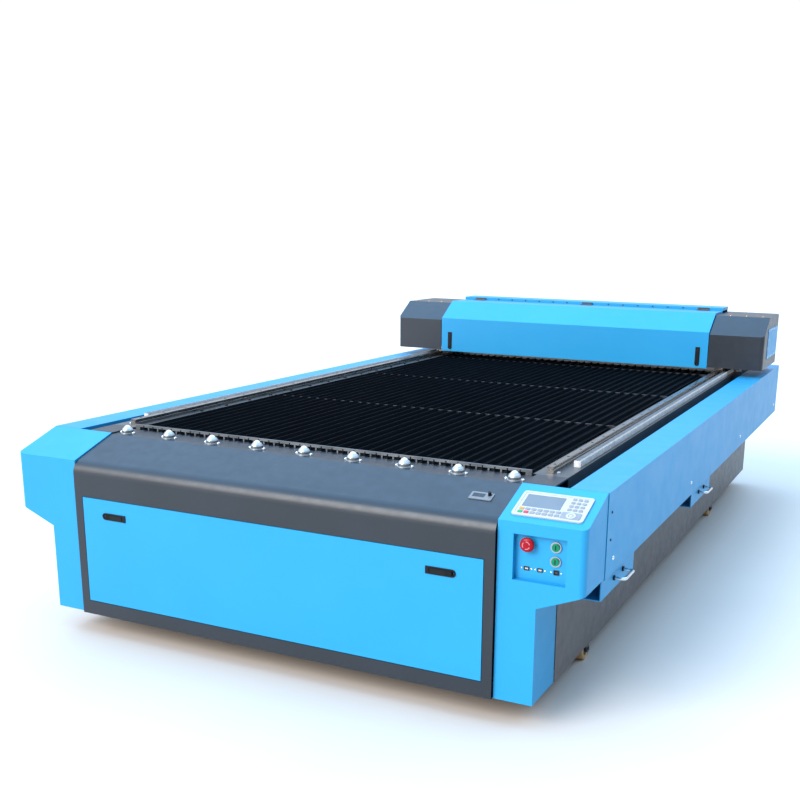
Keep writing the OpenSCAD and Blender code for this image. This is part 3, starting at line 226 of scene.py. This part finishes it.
piece("seam_screws_left", turned(seam_screw, seam_left, (-1, 0, 0)), dark_oxide, "machine")


# Base frame: square steel tube, welded and primed a matt near-black. The seats under the rails are ground and
# left grey, and the plate in front of each seat has the panel's charcoal coat.

primer = new_finish("primer", (0.012, 0.013, 0.016), 0.65)
tint(primer, grain(primer, 9.0, detail=6.0), (0.009, 0.01, 0.013), (0.018, 0.019, 0.022))
relief(primer, grain(primer, 700.0), 0.0002, 0.4)
seat_grey = new_finish("seat_grey", (0.055, 0.053, 0.052), 0.4)
tint(seat_grey, grain(seat_grey, 9.0, (1.0, 0.3, 1.0), 6.0), (0.045, 0.043, 0.043), (0.068, 0.066, 0.064))
sheen_map(seat_grey, grain(seat_grey, 40.0), 0.34, 0.48)
seat_top, seat_plate_back = 0.650, -1.366
dress("base_frame", primer, (seat_grey, lambda c, n: (c[:, 2] > seat_top - 0.0005) & (n[:, 2] > 0.9)),
      (charcoal_coat, lambda c, n: (c[:, 1] < seat_plate_back) & (c[:, 2] > seat_top - 0.006)))


# Grab handles: 12 mm bright steel bar bent to a bow, with a black nylon ferrule at each end where it meets
# the side bracket.

bright_steel = new_finish("bright_steel", (0.72, 0.73, 0.75), 0.16, 1.0)
sheen_map(bright_steel, grain(bright_steel, 40.0, (1.0, 6.0, 6.0)), 0.12, 0.26)
black_nylon = new_finish("black_nylon", (0.005, 0.005, 0.006), 0.45, gloss=0.2)
sheen_map(black_nylon, grain(black_nylon, 60.0), 0.36, 0.52)
relief(black_nylon, grain(black_nylon, 1500.0), 0.0001, 0.35)
ferrule_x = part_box("side_brackets")[1][0] + 0.006
dress("grab_handles", bright_steel, (black_nylon, lambda c, n: np.abs(c[:, 0]) < ferrule_x))


# Electrics: laser supply, low-voltage supply, three drivers and a controller, in grey and black cases fixed
# to a zinc plate in the cabinet.

zinc_plate = new_finish("zinc_plate", (0.6, 0.61, 0.62), 0.35, 0.9)
tint(zinc_plate, grain(zinc_plate, 25.0, detail=5.0), (0.52, 0.53, 0.54), (0.68, 0.69, 0.7))
black_case = new_finish("black_case", (0.02, 0.02, 0.022), 0.5)
tint(black_case, grain(black_case, 12.0), (0.016, 0.016, 0.018), (0.028, 0.028, 0.03))
relief(black_case, grain(black_case, 1200.0), 0.0001, 0.4)
grey_case = new_finish("grey_case", (0.42, 0.44, 0.46), 0.42)
tint(grey_case, grain(grey_case, 12.0), (0.38, 0.4, 0.42), (0.46, 0.48, 0.5))
plate_top = 0.125
dress("electrics", zinc_plate,
      (grey_case, lambda c, n: (c[:, 2] > plate_top) & (c[:, 0] < -0.06)),
      (black_case, lambda c, n: (c[:, 2] > plate_top) & (c[:, 0] > 0.2)))


# Bed: black anodised inverted-T slats slide into windows in a satin aluminium comb at the front, and lie in
# dark notched cross bars. The webs' upright faces take a lighter copy of the black and the feet a darker one:
# painted light and shade that evens the webs' shaded sides with the lit feet.

slat_black = new_finish("slat_black", (0.0035, 0.0047, 0.0058), 0.5, gloss=0.01)
slat_web_painted_light = new_finish("slat_web_painted_light", (0.011, 0.0132, 0.017), 0.55, gloss=0.01)
for anodised, deep, pale in ((slat_black, (0.003, 0.004, 0.005), (0.004, 0.0054, 0.0066)),
                             (slat_web_painted_light, (0.0095, 0.0115, 0.015), (0.0125, 0.015, 0.019))):
    tint(anodised, grain(anodised, 18.0, (6.0, 0.4, 6.0), 5.0), deep, pale)
    sheen_map(anodised, grain(anodised, 30.0, (4.0, 0.5, 4.0)), 0.45, 0.6)
    relief(anodised, grain(anodised, 300.0, (6.0, 0.1, 6.0)), 0.0001, 0.3)
# Upright web faces get the lighter copy: painted light on the webs' shaded sides.
dress("slats", slat_black, (slat_web_painted_light, lambda c, n: np.abs(n[:, 0]) > 0.9))
bar_grey = new_finish("bar_grey", (0.018, 0.02, 0.023), 0.4)
tint(bar_grey, grain(bar_grey, 40.0, detail=5.0), (0.013, 0.015, 0.018), (0.025, 0.027, 0.03))
comb_satin = new_finish("comb_satin", (0.16, 0.17, 0.18), 0.42, 0.85)
tint(comb_satin, grain(comb_satin, 30.0, (0.3, 6.0, 6.0), 4.0), (0.13, 0.14, 0.15), (0.19, 0.2, 0.21))
sheen_map(comb_satin, grain(comb_satin, 50.0, (0.3, 8.0, 8.0)), 0.36, 0.5)
comb_back = -1.3
dress("slat_bars", bar_grey, (comb_satin, lambda c, n: c[:, 1] < comb_back))


# Rails and racks: ground linear rails and milled racks, their sides and ends pale, partly a painted
# reflection, and their upward faces dark as painted shade, held down by dark cap screws. A row of larger ones
# holds each seat, with a zinc one beside the rail's front end.

rail_steel = new_finish("rail_steel", (0.22, 0.21, 0.2), 0.24, 1.0)
tint(rail_steel, grain(rail_steel, 30.0, (8.0, 0.3, 8.0), 4.0), (0.17, 0.162, 0.155), (0.27, 0.258, 0.247))
sheen_map(rail_steel, grain(rail_steel, 60.0, (8.0, 0.2, 8.0)), 0.18, 0.34)
# The racks' pale colour is partly painted reflection of the bright surround.
rack_steel = new_finish("rack_steel", (0.72, 0.68, 0.63), 0.45, 0.1)
tint(rack_steel, grain(rack_steel, 50.0, detail=6.0), (0.64, 0.6, 0.55), (0.8, 0.76, 0.71))
sheen_map(rack_steel, grain(rack_steel, 70.0), 0.32, 0.55)
# Upward faces of the racks get this dark copy: painted shade on their tops.
rack_top_shade = new_finish("rack_top_shade", (0.11, 0.112, 0.115), 0.55, 0.3)
tint(rack_top_shade, grain(rack_top_shade, 60.0, detail=6.0), (0.08, 0.082, 0.085), (0.15, 0.15, 0.15))
sheen_map(rack_top_shade, grain(rack_top_shade, 80.0), 0.45, 0.65)
dress("linear_rails", rail_steel)
dress("gear_racks", rack_steel, (rack_top_shade, lambda c, n: n[:, 2] > 0.7))


def cap_head(r):
    """Profile of a socket cap screw head of radius r, chamfered, with its socket sunk in the top."""
    return np.array([(1.0, -0.3), (1.0, 0.7), (0.9, 0.85), (0.55, 0.85), (0.52, 0.3)]) * r


rack_tip, _, rack_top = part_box("gear_racks")[1]
rail_side, _, rail_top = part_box("linear_rails")[1]
rail_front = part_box("linear_rails")[0][1]
rack_row_in, rack_sink = 0.013, 0.003
rail_half, rail_sink = 0.01, 0.0085
seat_row_x, stop_x = 0.737, 0.7855
rack_screws = mirrored([(rack_tip - rack_row_in, y, rack_top - rack_sink)
                        for y in np.arange(-1.185, 1.55, 0.12)])
rail_screws = mirrored([(rail_side - rail_half, y, rail_top - rail_sink)
                        for y in np.arange(rail_front + 0.04, 1.54, 0.12)])
seat_screws = mirrored([(seat_row_x, y, seat_top) for y in np.arange(-1.0, 1.55, 0.15)])
stop_screws = mirrored([(stop_x, rail_front + 0.012, seat_top)])
for name, seats, radius, finish, slot in (("rack_screws", rack_screws, 0.0035, dark_oxide, "rack_steel"),
                                          ("rail_screws", rail_screws, 0.0042, dark_oxide, "rack_steel"),
                                          ("seat_screws", seat_screws, 0.0062, dark_oxide, "rack_steel"),
                                          ("stop_screws", stop_screws, 0.0062, bright_zinc, "zinc")):
    piece(name, turned(cap_head(radius), np.concatenate(seats), (0, 0, 1), 10), finish, "machine")


# Ball transfer units: pressed cups with a satin white zinc plate and a ring of painted shade where the dome
# meets its flange, ground steel balls, and two zinc screws through the ears of each.

cup_zinc = new_finish("cup_zinc", (0.5, 0.53, 0.55), 0.4, 0.7)
tint(cup_zinc, grain(cup_zinc, 60.0, detail=4.0), (0.46, 0.485, 0.505), (0.54, 0.575, 0.595))
sheen_map(cup_zinc, grain(cup_zinc, 90.0), 0.32, 0.48)
ball_steel = new_finish("ball_steel", (0.8, 0.81, 0.83), 0.2, 0.85)
sheen_map(ball_steel, grain(ball_steel, 150.0), 0.14, 0.26)
# The upright faces at the dome's foot get this dark band: painted shade where the dome meets its flange.
cup_foot_painted_shade = new_finish("cup_foot_painted_shade", (0.12, 0.135, 0.14), 0.45, 0.7)
tint(cup_foot_painted_shade, grain(cup_foot_painted_shade, 60.0, detail=4.0), (0.1, 0.113, 0.118), (0.14, 0.157, 0.162))
dome_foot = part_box("ball_cups")[0][2] + 0.007
dress("ball_cups", cup_zinc,
      (cup_foot_painted_shade, lambda c, n: (np.abs(n[:, 2]) < 0.5) & (np.abs(c[:, 2] - dome_foot) < 0.003)))
dress("transfer_balls", ball_steel)
unit_pitch, unit_y, ear_reach, ear_top = 0.174, -1.445, 0.0255, 0.649
ear_x = (np.arange(9)[:, None] - 4) * unit_pitch + np.array((-ear_reach, ear_reach))
ear_seats = np.stack([ear_x.ravel(), np.full(ear_x.size, unit_y), np.full(ear_x.size, ear_top)], -1)
ear_screw = button_head(0.0046)
piece("ball_unit_screws", turned(ear_screw, ear_seats, (0, 0, 1), 12), bright_zinc, "machine")


# Keypad: a moulded pale grey body with soft keys, three of them coloured, and a grey-blue liquid crystal
# window set into it. It is fixed to the sloping deck at the front right.

keypad_grey = new_finish("keypad_grey", (0.44, 0.42, 0.39), 0.42)
tint(keypad_grey, grain(keypad_grey, 30.0), (0.42, 0.4, 0.37), (0.46, 0.44, 0.41))
relief(keypad_grey, grain(keypad_grey, 1800.0), 0.00008, 0.35)
lcd_glass = new_finish("lcd_glass", (0.12, 0.135, 0.15), 0.2)
tint(lcd_glass, grain(lcd_glass, 20.0), (0.112, 0.128, 0.142), (0.128, 0.142, 0.158))
deck_rise, deck_run = 66.0, 184.0
deck_tilt = math.atan(deck_rise / deck_run)
keypad_seat = (0.857, -1.573, 0.617)
rim_x, rim_y, face_z = 91.0, 50.2, 4.1
key_x, key_y, key_z = 8.0, 6.5, 3.4
arrow_x, arrow_y, arrow_r, arrow_z = 61.0, -35.0, 13.0, 4.9


def on_slope(c, origin):
    """Faces' centres in mm from a point on the sloping deck: x across, y up the slope, z out of it."""
    x, y, z = (c - np.asarray(origin)).T
    return 1000.0 * np.stack([x, y * math.cos(deck_tilt) + z * math.sin(deck_tilt),
                              z * math.cos(deck_tilt) - y * math.sin(deck_tilt)], -1)


def on_keypad(c):
    """Faces' centres from the middle of the keypad's back."""
    return on_slope(c, keypad_seat)


def key_at(x, y):
    """Test for the faces of the raised key at x, y."""
    def test(c, n):
        p = on_keypad(c)
        return (p[:, 2] > key_z) & (np.abs(p[:, 0] - x) < key_x) & (np.abs(p[:, 1] - y) < key_y)
    return test


key_grey = new_finish("key_grey", (0.22, 0.225, 0.24), 0.5)
tint(key_grey, grain(key_grey, 90.0), (0.2, 0.205, 0.22), (0.24, 0.245, 0.26))
key_yellow = new_finish("key_yellow", (0.5, 0.24, 0.015), 0.45)
tint(key_yellow, grain(key_yellow, 90.0), (0.46, 0.22, 0.012), (0.54, 0.26, 0.02))
key_green = new_finish("key_green", (0.012, 0.28, 0.09), 0.45)
tint(key_green, grain(key_green, 90.0), (0.01, 0.26, 0.08), (0.015, 0.3, 0.1))
key_red = new_finish("key_red", (0.5, 0.015, 0.03), 0.45)
tint(key_red, grain(key_red, 90.0), (0.46, 0.012, 0.026), (0.54, 0.018, 0.034))


def raised(c, n):
    """Test for all that stands up inside the keypad's rim."""
    p = on_keypad(c)
    return (p[:, 2] > face_z) & (np.abs(p[:, 0]) < rim_x) & (np.abs(p[:, 1]) < rim_y)


def arrow_ring(c, n):
    """Test for the top of the round arrow key."""
    p = on_keypad(c)
    return (p[:, 2] > arrow_z) & (np.hypot(p[:, 0] - arrow_x, p[:, 1] - arrow_y) < arrow_r)


dress("keypad_body", keypad_grey, (key_grey, raised), (keypad_grey, arrow_ring),
      (key_yellow, key_at(-78.0, -27.0)), (key_green, key_at(-78.0, -42.0)), (key_red, key_at(-61.0, -42.0)))
dress("keypad_display", lcd_glass)


# Panel controls: satin chromed collars, a crimson mushroom head marked with three turning arcs, two green
# push buttons each with a black upright stroke, and black plug sockets held by a zinc screw at either side.

def arc_bars(seat, axis, inner, outer, low, high, starts, sweep, steps=9):
    """Curved bars about an axis: at angle t from each start, the corners lie at radius inner or outer and at
    height low or high, so one bar is a rectangle carried along an arc."""
    u, v, w = axes_of(axis)
    t = np.asarray(starts)[:, None] + np.linspace(0.0, sweep, steps)
    spoke = np.cos(t)[..., None] * u + np.sin(t)[..., None] * v
    radius = np.array((inner, outer, outer, inner))
    height = np.array((high, high, low, low))
    return np.asarray(seat) + radius[:, None] * spoke[:, :, None, :] + height[:, None] * w


def upright_box(centre, size):
    """A box about each centre: two rings of four corners, one at the low end and one at the high end."""
    x, y, z = np.asarray(size) / 2.0
    ring = np.array([(-x, -y), (x, -y), (x, y), (-x, y)])
    one = np.stack([np.column_stack([ring, np.full(4, h)]) for h in (-z, z)])
    return np.asarray(centre, float).reshape(-1, 1, 1, 3) + one


def front_middle(box):
    """The middle of a box's front side: half way in x and in z, at the lowest y."""
    low, high = box
    return ((low[0] + high[0]) / 2, low[1], (low[2] + high[2]) / 2)


chrome = new_finish("chrome", (0.32, 0.35, 0.38), 0.2, 1.0)
sheen_map(chrome, grain(chrome, 120.0), 0.16, 0.28)
stop_red = new_finish("stop_red", (0.3, 0.001, 0.009), 0.3, gloss=0.2)
tint(stop_red, grain(stop_red, 60.0), (0.27, 0.001, 0.008), (0.33, 0.002, 0.01))
relief(stop_red, grain(stop_red, 1500.0), 0.00006, 0.3)
push_green = new_finish("push_green", (0.001, 0.18, 0.08), 0.3, gloss=0.15)
tint(push_green, grain(push_green, 70.0), (0.001, 0.165, 0.073), (0.002, 0.195, 0.088))
mark_pale = new_finish("mark_pale", (0.46, 0.16, 0.18), 0.45)
tint(mark_pale, grain(mark_pale, 90.0), (0.43, 0.14, 0.16), (0.49, 0.18, 0.2))
dress("panel_rings", chrome)
dress("stop_head", stop_red)
dress("start_button", push_green)
dress("laser_button", push_green)
arc_starts, arc_sweep = np.radians((15.0, 135.0, 255.0)), math.radians(82.0)
arc_inner, arc_outer, arc_low, arc_high = 0.0088, 0.0112, -0.0012, -0.0001
stop_arcs = arc_bars(front_middle(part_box("stop_head")), (0, -1, 0), arc_inner, arc_outer, arc_low, arc_high,
                     arc_starts, arc_sweep)
piece("stop_arcs", stop_arcs, mark_pale, "stop")
stroke_size = (0.003, 0.0004, 0.0125)
for button, body in (("start_button", "start"), ("laser_button", "laser_enable")):
    stroke = upright_box(front_middle(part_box(button)), stroke_size)
    piece(button + "_stroke", stroke, black_nylon, body)
socket_x, socket_z, recess_y = np.array((0.812, 0.850, 0.895)), 0.459, -1.636
dress("data_sockets", black_case,
      (keypad_grey, lambda c, n: (np.abs(c[:, 0, None] - socket_x[:2]).min(1) < 0.0047)
       & (np.abs(c[:, 2] - socket_z) < 0.0031) & (c[:, 1] < recess_y + 0.0008)))
socket_seats = [(x + s, recess_y, socket_z) for x in socket_x for s in (-0.014, 0.014)]
socket_screw = button_head(0.0026)
piece("socket_screws", turned(socket_screw, socket_seats, (0, -1, 0), 12), bright_zinc, "machine")


# Power meter: a grey moulded plate fixed to the sloping deck beside the keypad, with a dark window and a
# black nylon knob.

meter_grey = new_finish("meter_grey", (0.16, 0.16, 0.16), 0.45)
tint(meter_grey, grain(meter_grey, 40.0), (0.15, 0.15, 0.15), (0.17, 0.17, 0.17))
relief(meter_grey, grain(meter_grey, 1800.0), 0.00008, 0.35)
dark_window = new_finish("dark_window", (0.03, 0.036, 0.045), 0.3, gloss=0.2)
sheen_map(dark_window, grain(dark_window, 60.0), 0.26, 0.34)
meter_seat = (0.646, -1.560, 0.61766)
window_middle, window_half = np.array((-9.0, 2.0, 1.7)), np.array((18.0, 9.0, 0.2))


def in_window(c, n):
    """Test for the floor of the meter's window."""
    return (np.abs(on_slope(c, meter_seat) - window_middle) < window_half).all(1)


dress("power_meter", meter_grey, (dark_window, in_window))
dress("meter_knob", black_nylon)


# Castors: pressed steel forks with a black electro coat, each turning under a pad of the base frame, and tan
# polyurethane wheels with a moulded hub.

fork_black = new_finish("fork_black", (0.014, 0.014, 0.015), 0.32)
tint(fork_black, grain(fork_black, 40.0, detail=5.0), (0.01, 0.01, 0.011), (0.025, 0.024, 0.024))
wheel_tan = new_finish("wheel_tan", (0.42, 0.26, 0.11), 0.5)
tint(wheel_tan, grain(wheel_tan, 50.0, detail=5.0), (0.33, 0.2, 0.085), (0.5, 0.32, 0.15))
relief(wheel_tan, grain(wheel_tan, 900.0), 0.0001, 0.4)
hub_r = 0.0242
for corner in ("front_left", "front_right", "rear_left", "rear_right"):
    low, high = (np.array(c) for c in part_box("wheel_" + corner))
    axle = (low + high) / 2
    dress("fork_" + corner, fork_black)
    dress("wheel_" + corner, wheel_tan,
          (fork_black, lambda c, n, a=axle: np.hypot(c[:, 1] - a[1], c[:, 2] - a[2]) < hub_r))


# Latches: black nylon flush latches, two on the door and two on the gantry cover. Each is a housing let into
# the sheet and a pull lever.

for latch in ("door_latch_housings", "door_latch_left", "door_latch_right",
              "cover_latch_housings", "cover_latch_left", "cover_latch_right"):
    dress(latch, black_nylon)


# Gantry works: aluminium beam and end plates that carry steel blocks, cross rail, gear motors, belt and
# pulleys, the glass laser tube, and the head with its brass nozzle.

clear_aluminium = new_finish("clear_aluminium", (0.62, 0.63, 0.65), 0.36, 0.95)
tint(clear_aluminium, grain(clear_aluminium, 25.0, (0.3, 6.0, 6.0), 4.0),
     (0.55, 0.56, 0.58), (0.68, 0.69, 0.71))
sheen_map(clear_aluminium, grain(clear_aluminium, 60.0, (0.2, 8.0, 8.0)), 0.3, 0.46)
belt_rubber = new_finish("belt_rubber", (0.014, 0.014, 0.014), 0.7)
tint(belt_rubber, grain(belt_rubber, 90.0), (0.01, 0.01, 0.01), (0.022, 0.022, 0.022))
relief(belt_rubber, grain(belt_rubber, 1100.0), 0.0001, 0.5)
tube_glass = new_finish("tube_glass", (0.8, 0.86, 0.88), 0.08)
tint(tube_glass, grain(tube_glass, 8.0), (0.76, 0.83, 0.86), (0.84, 0.89, 0.9))
brass = new_finish("brass", (0.72, 0.48, 0.17), 0.24, 1.0)
sheen_map(brass, grain(brass, 90.0), 0.18, 0.34)
for works in ("gantry_beam", "end_plates", "head_carriage", "drive_pulley", "idler_pulley"):
    dress(works, clear_aluminium)
for works in ("rail_blocks", "x_rail"):
    dress(works, rail_steel)
dress("left_pinion", rack_steel)
dress("right_pinion", rack_steel)
dress("motors", black_case)
dress("x_belt", belt_rubber)
dress("laser_tube", tube_glass)
dress("cover_hinges", fork_black)
dress("cover_hinge_leaves", fork_black)
nozzle_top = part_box("laser_head")[0][2] + 0.03
dress("laser_head", clear_aluminium, (brass, lambda c, n: c[:, 2] < nozzle_top))


# Gantry cover fixings: bronze-plated bolts along the top of each end cover, small zinc screws round each
# access plate, and dark screws in the strip behind the cover's hinges.

bronze = new_finish("bronze", (0.42, 0.25, 0.14), 0.35, 0.9)
tint(bronze, grain(bronze, 200.0, detail=4.0), (0.34, 0.2, 0.11), (0.5, 0.31, 0.18))
bolt_y, bolt_seat = 1.200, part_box("end_covers")[1][2]
cover_bolts = mirrored([(x, bolt_y, bolt_seat) for x in (0.790, 0.868, 0.946)])
piece("end_cover_bolts", turned(button_head(0.0075), np.concatenate(cover_bolts), (0, 0, 1)), bronze,
      "gantry")
plate_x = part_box("end_access_plates")[1][0]
along, upright = np.linspace(1.173, 1.449, 6), np.linspace(0.740, 0.869, 4)
border = [(y, z) for y in along for z in upright if y in along[[0, -1]] or z in upright[[0, -1]]]
plate_right, plate_left = mirrored([(plate_x, y, z) for y, z in border])
plate_screw = button_head(0.0038)
piece("plate_screws_right", turned(plate_screw, plate_right, (1, 0, 0), 10), bright_zinc, "gantry")
piece("plate_screws_left", turned(plate_screw, plate_left, (-1, 0, 0), 10), bright_zinc, "gantry")
strip_y, strip_z = 1.361, 0.9485
strip_seats = np.concatenate(mirrored([(0.116 + 0.08 * k, strip_y, strip_z) for k in range(6)]))
piece("strip_screws", turned(button_head(0.004), strip_seats, (0, -1, 0), 10), dark_oxide, "gantry")


# Floor: a plain pale studio sheet under the machine, so wide that its edges are lost in the surround. It is
# no part of the machine.

def floor_sheet(half, step):
    """A flat grid of square cells from -half to half."""
    line = np.linspace(-half, half, step)
    x, y = np.meshgrid(line, line, indexing="ij")
    points = np.stack([x, y, np.zeros_like(x)], -1).reshape(-1, 3)
    cell = np.arange(step * step).reshape(step, step)
    quads = np.stack([cell[:-1, :-1], cell[1:, :-1], cell[1:, 1:], cell[:-1, 1:]], -1).reshape(-1, 4)
    mesh = bpy.data.meshes.new("floor")
    mesh.from_pydata(points.tolist(), [], quads.tolist())
    floor = bpy.data.objects.new("floor", mesh)
    bpy.context.scene.collection.objects.link(floor)
    return floor


floor_paint = new_finish("floor_paint", (0.69, 0.59, 0.505), 0.6)
tint(floor_paint, grain(floor_paint, 1.5), (0.68, 0.582, 0.498), (0.7, 0.598, 0.512))
floor = floor_sheet(60.0, 13)
floor.data.materials.append(floor_paint)


# Studio light: a white surround at the horizon, dimmer above it at the right and front and bluer overhead,
# and a soft key from the front left.

world = bpy.data.worlds.new("studio")
world.use_nodes = True
sky = world.node_tree


def sky_ramp(source, first, last, *between):
    """A colour ramp with stops of position and colour, read at the source."""
    node = sky.nodes.new("ShaderNodeValToRGB")
    ramp = node.color_ramp
    for stop, (place, colour) in zip(ramp.elements, (first, last)):
        stop.position, stop.color = place, (*colour, 1.0)
    for place, colour in between:
        ramp.elements.new(place).color = (*colour, 1.0)
    sky.links.new(source, node.inputs["Fac"])
    return node.outputs["Color"]


def sky_maths(operation, first, second):
    """The operation on two vectors, part by part."""
    node = sky.nodes.new("ShaderNodeVectorMath")
    node.operation = operation
    sky.links.new(first, node.inputs[0])
    sky.links.new(second, node.inputs[1])
    return node.outputs["Vector"]


way = sky.nodes.new("ShaderNodeTexCoord").outputs["Generated"]
lean = sky.nodes.new("ShaderNodeVectorMath")
lean.operation = "DOT_PRODUCT"
lean.inputs[1].default_value = (-0.55, 0.66, 0.5)
share = sky.nodes.new("ShaderNodeMapRange")
share.inputs["From Min"].default_value = -0.6
share.inputs["From Max"].default_value = 0.8
climb = sky.nodes.new("ShaderNodeSeparateXYZ")
sky.links.new(way, lean.inputs[0])
sky.links.new(lean.outputs["Value"], share.inputs["Value"])
sky.links.new(way, climb.inputs["Vector"])
fall = sky_ramp(share.outputs["Result"], (0.0, (0.16, 0.165, 0.17)), (1.0, (1.1, 1.1, 1.1)),
                (0.3, (0.5, 0.505, 0.51)))
zenith = sky_ramp(climb.outputs["Z"], (0.17, (1.0, 1.0, 1.0)), (0.72, (1.5, 2.5, 3.8)),
                  (0.26, (0.6, 0.63, 0.68)), (0.42, (0.8, 0.9, 1.05)))
horizon = sky_ramp(climb.outputs["Z"], (0.19, (1.0, 1.0, 1.0)), (0.3, (0.0, 0.0, 0.0)))
glow = sky_maths("MAXIMUM", sky_maths("MULTIPLY", fall, zenith), horizon)
sky.links.new(glow, sky.nodes["Background"].inputs["Color"])
sky.nodes["Background"].inputs["Strength"].default_value = 1.0
bpy.context.scene.world = world
bpy.context.scene.view_settings.view_transform = "Standard"
key_from = Vector((-0.42, -0.80, 0.5))
key = bpy.data.lights.new("key", "SUN")
key.angle = math.radians(40.0)
key.energy = 4.0
key.color = (1.0, 0.98, 0.96)
key_stand = bpy.data.objects.new("key", key)
bpy.context.scene.collection.objects.link(key_stand)
key_stand.rotation_euler = (-key_from).to_track_quat("-Z", "Y").to_euler()


# Camera: stands at the front right, above the bed, turned a little about its own axis, with its lens shifted
# to the photograph's frame.

camera_at = (1.7174, -4.0914, 1.3240)
az, el, roll = np.radians((24.879, 14.631, 0.909))
back = np.array((math.sin(az) * math.cos(el), -math.cos(az) * math.cos(el), math.sin(el)))
right = np.array((math.cos(az), math.sin(az), 0.0))
up = np.cross(back, right)
side = math.cos(roll) * right + math.sin(roll) * up
head = math.cos(roll) * up - math.sin(roll) * right
focal, centre_x, centre_y, wide = 1036.51, 447.67, 499.73, 800.0
lens = bpy.data.cameras.new("camera")
lens.sensor_width = 36.0
lens.lens = lens.sensor_width * focal / wide
lens.shift_x = 0.5 - centre_x / wide
lens.shift_y = centre_y / wide - 0.5
camera = bpy.data.objects.new("camera", lens)
bpy.context.scene.collection.objects.link(camera)
stand = np.eye(4)
stand[:3, 0], stand[:3, 1], stand[:3, 2] = side, head, back
stand[:3, 3] = camera_at
camera.matrix_world = Matrix(stand.tolist())
bpy.context.scene.camera = camera
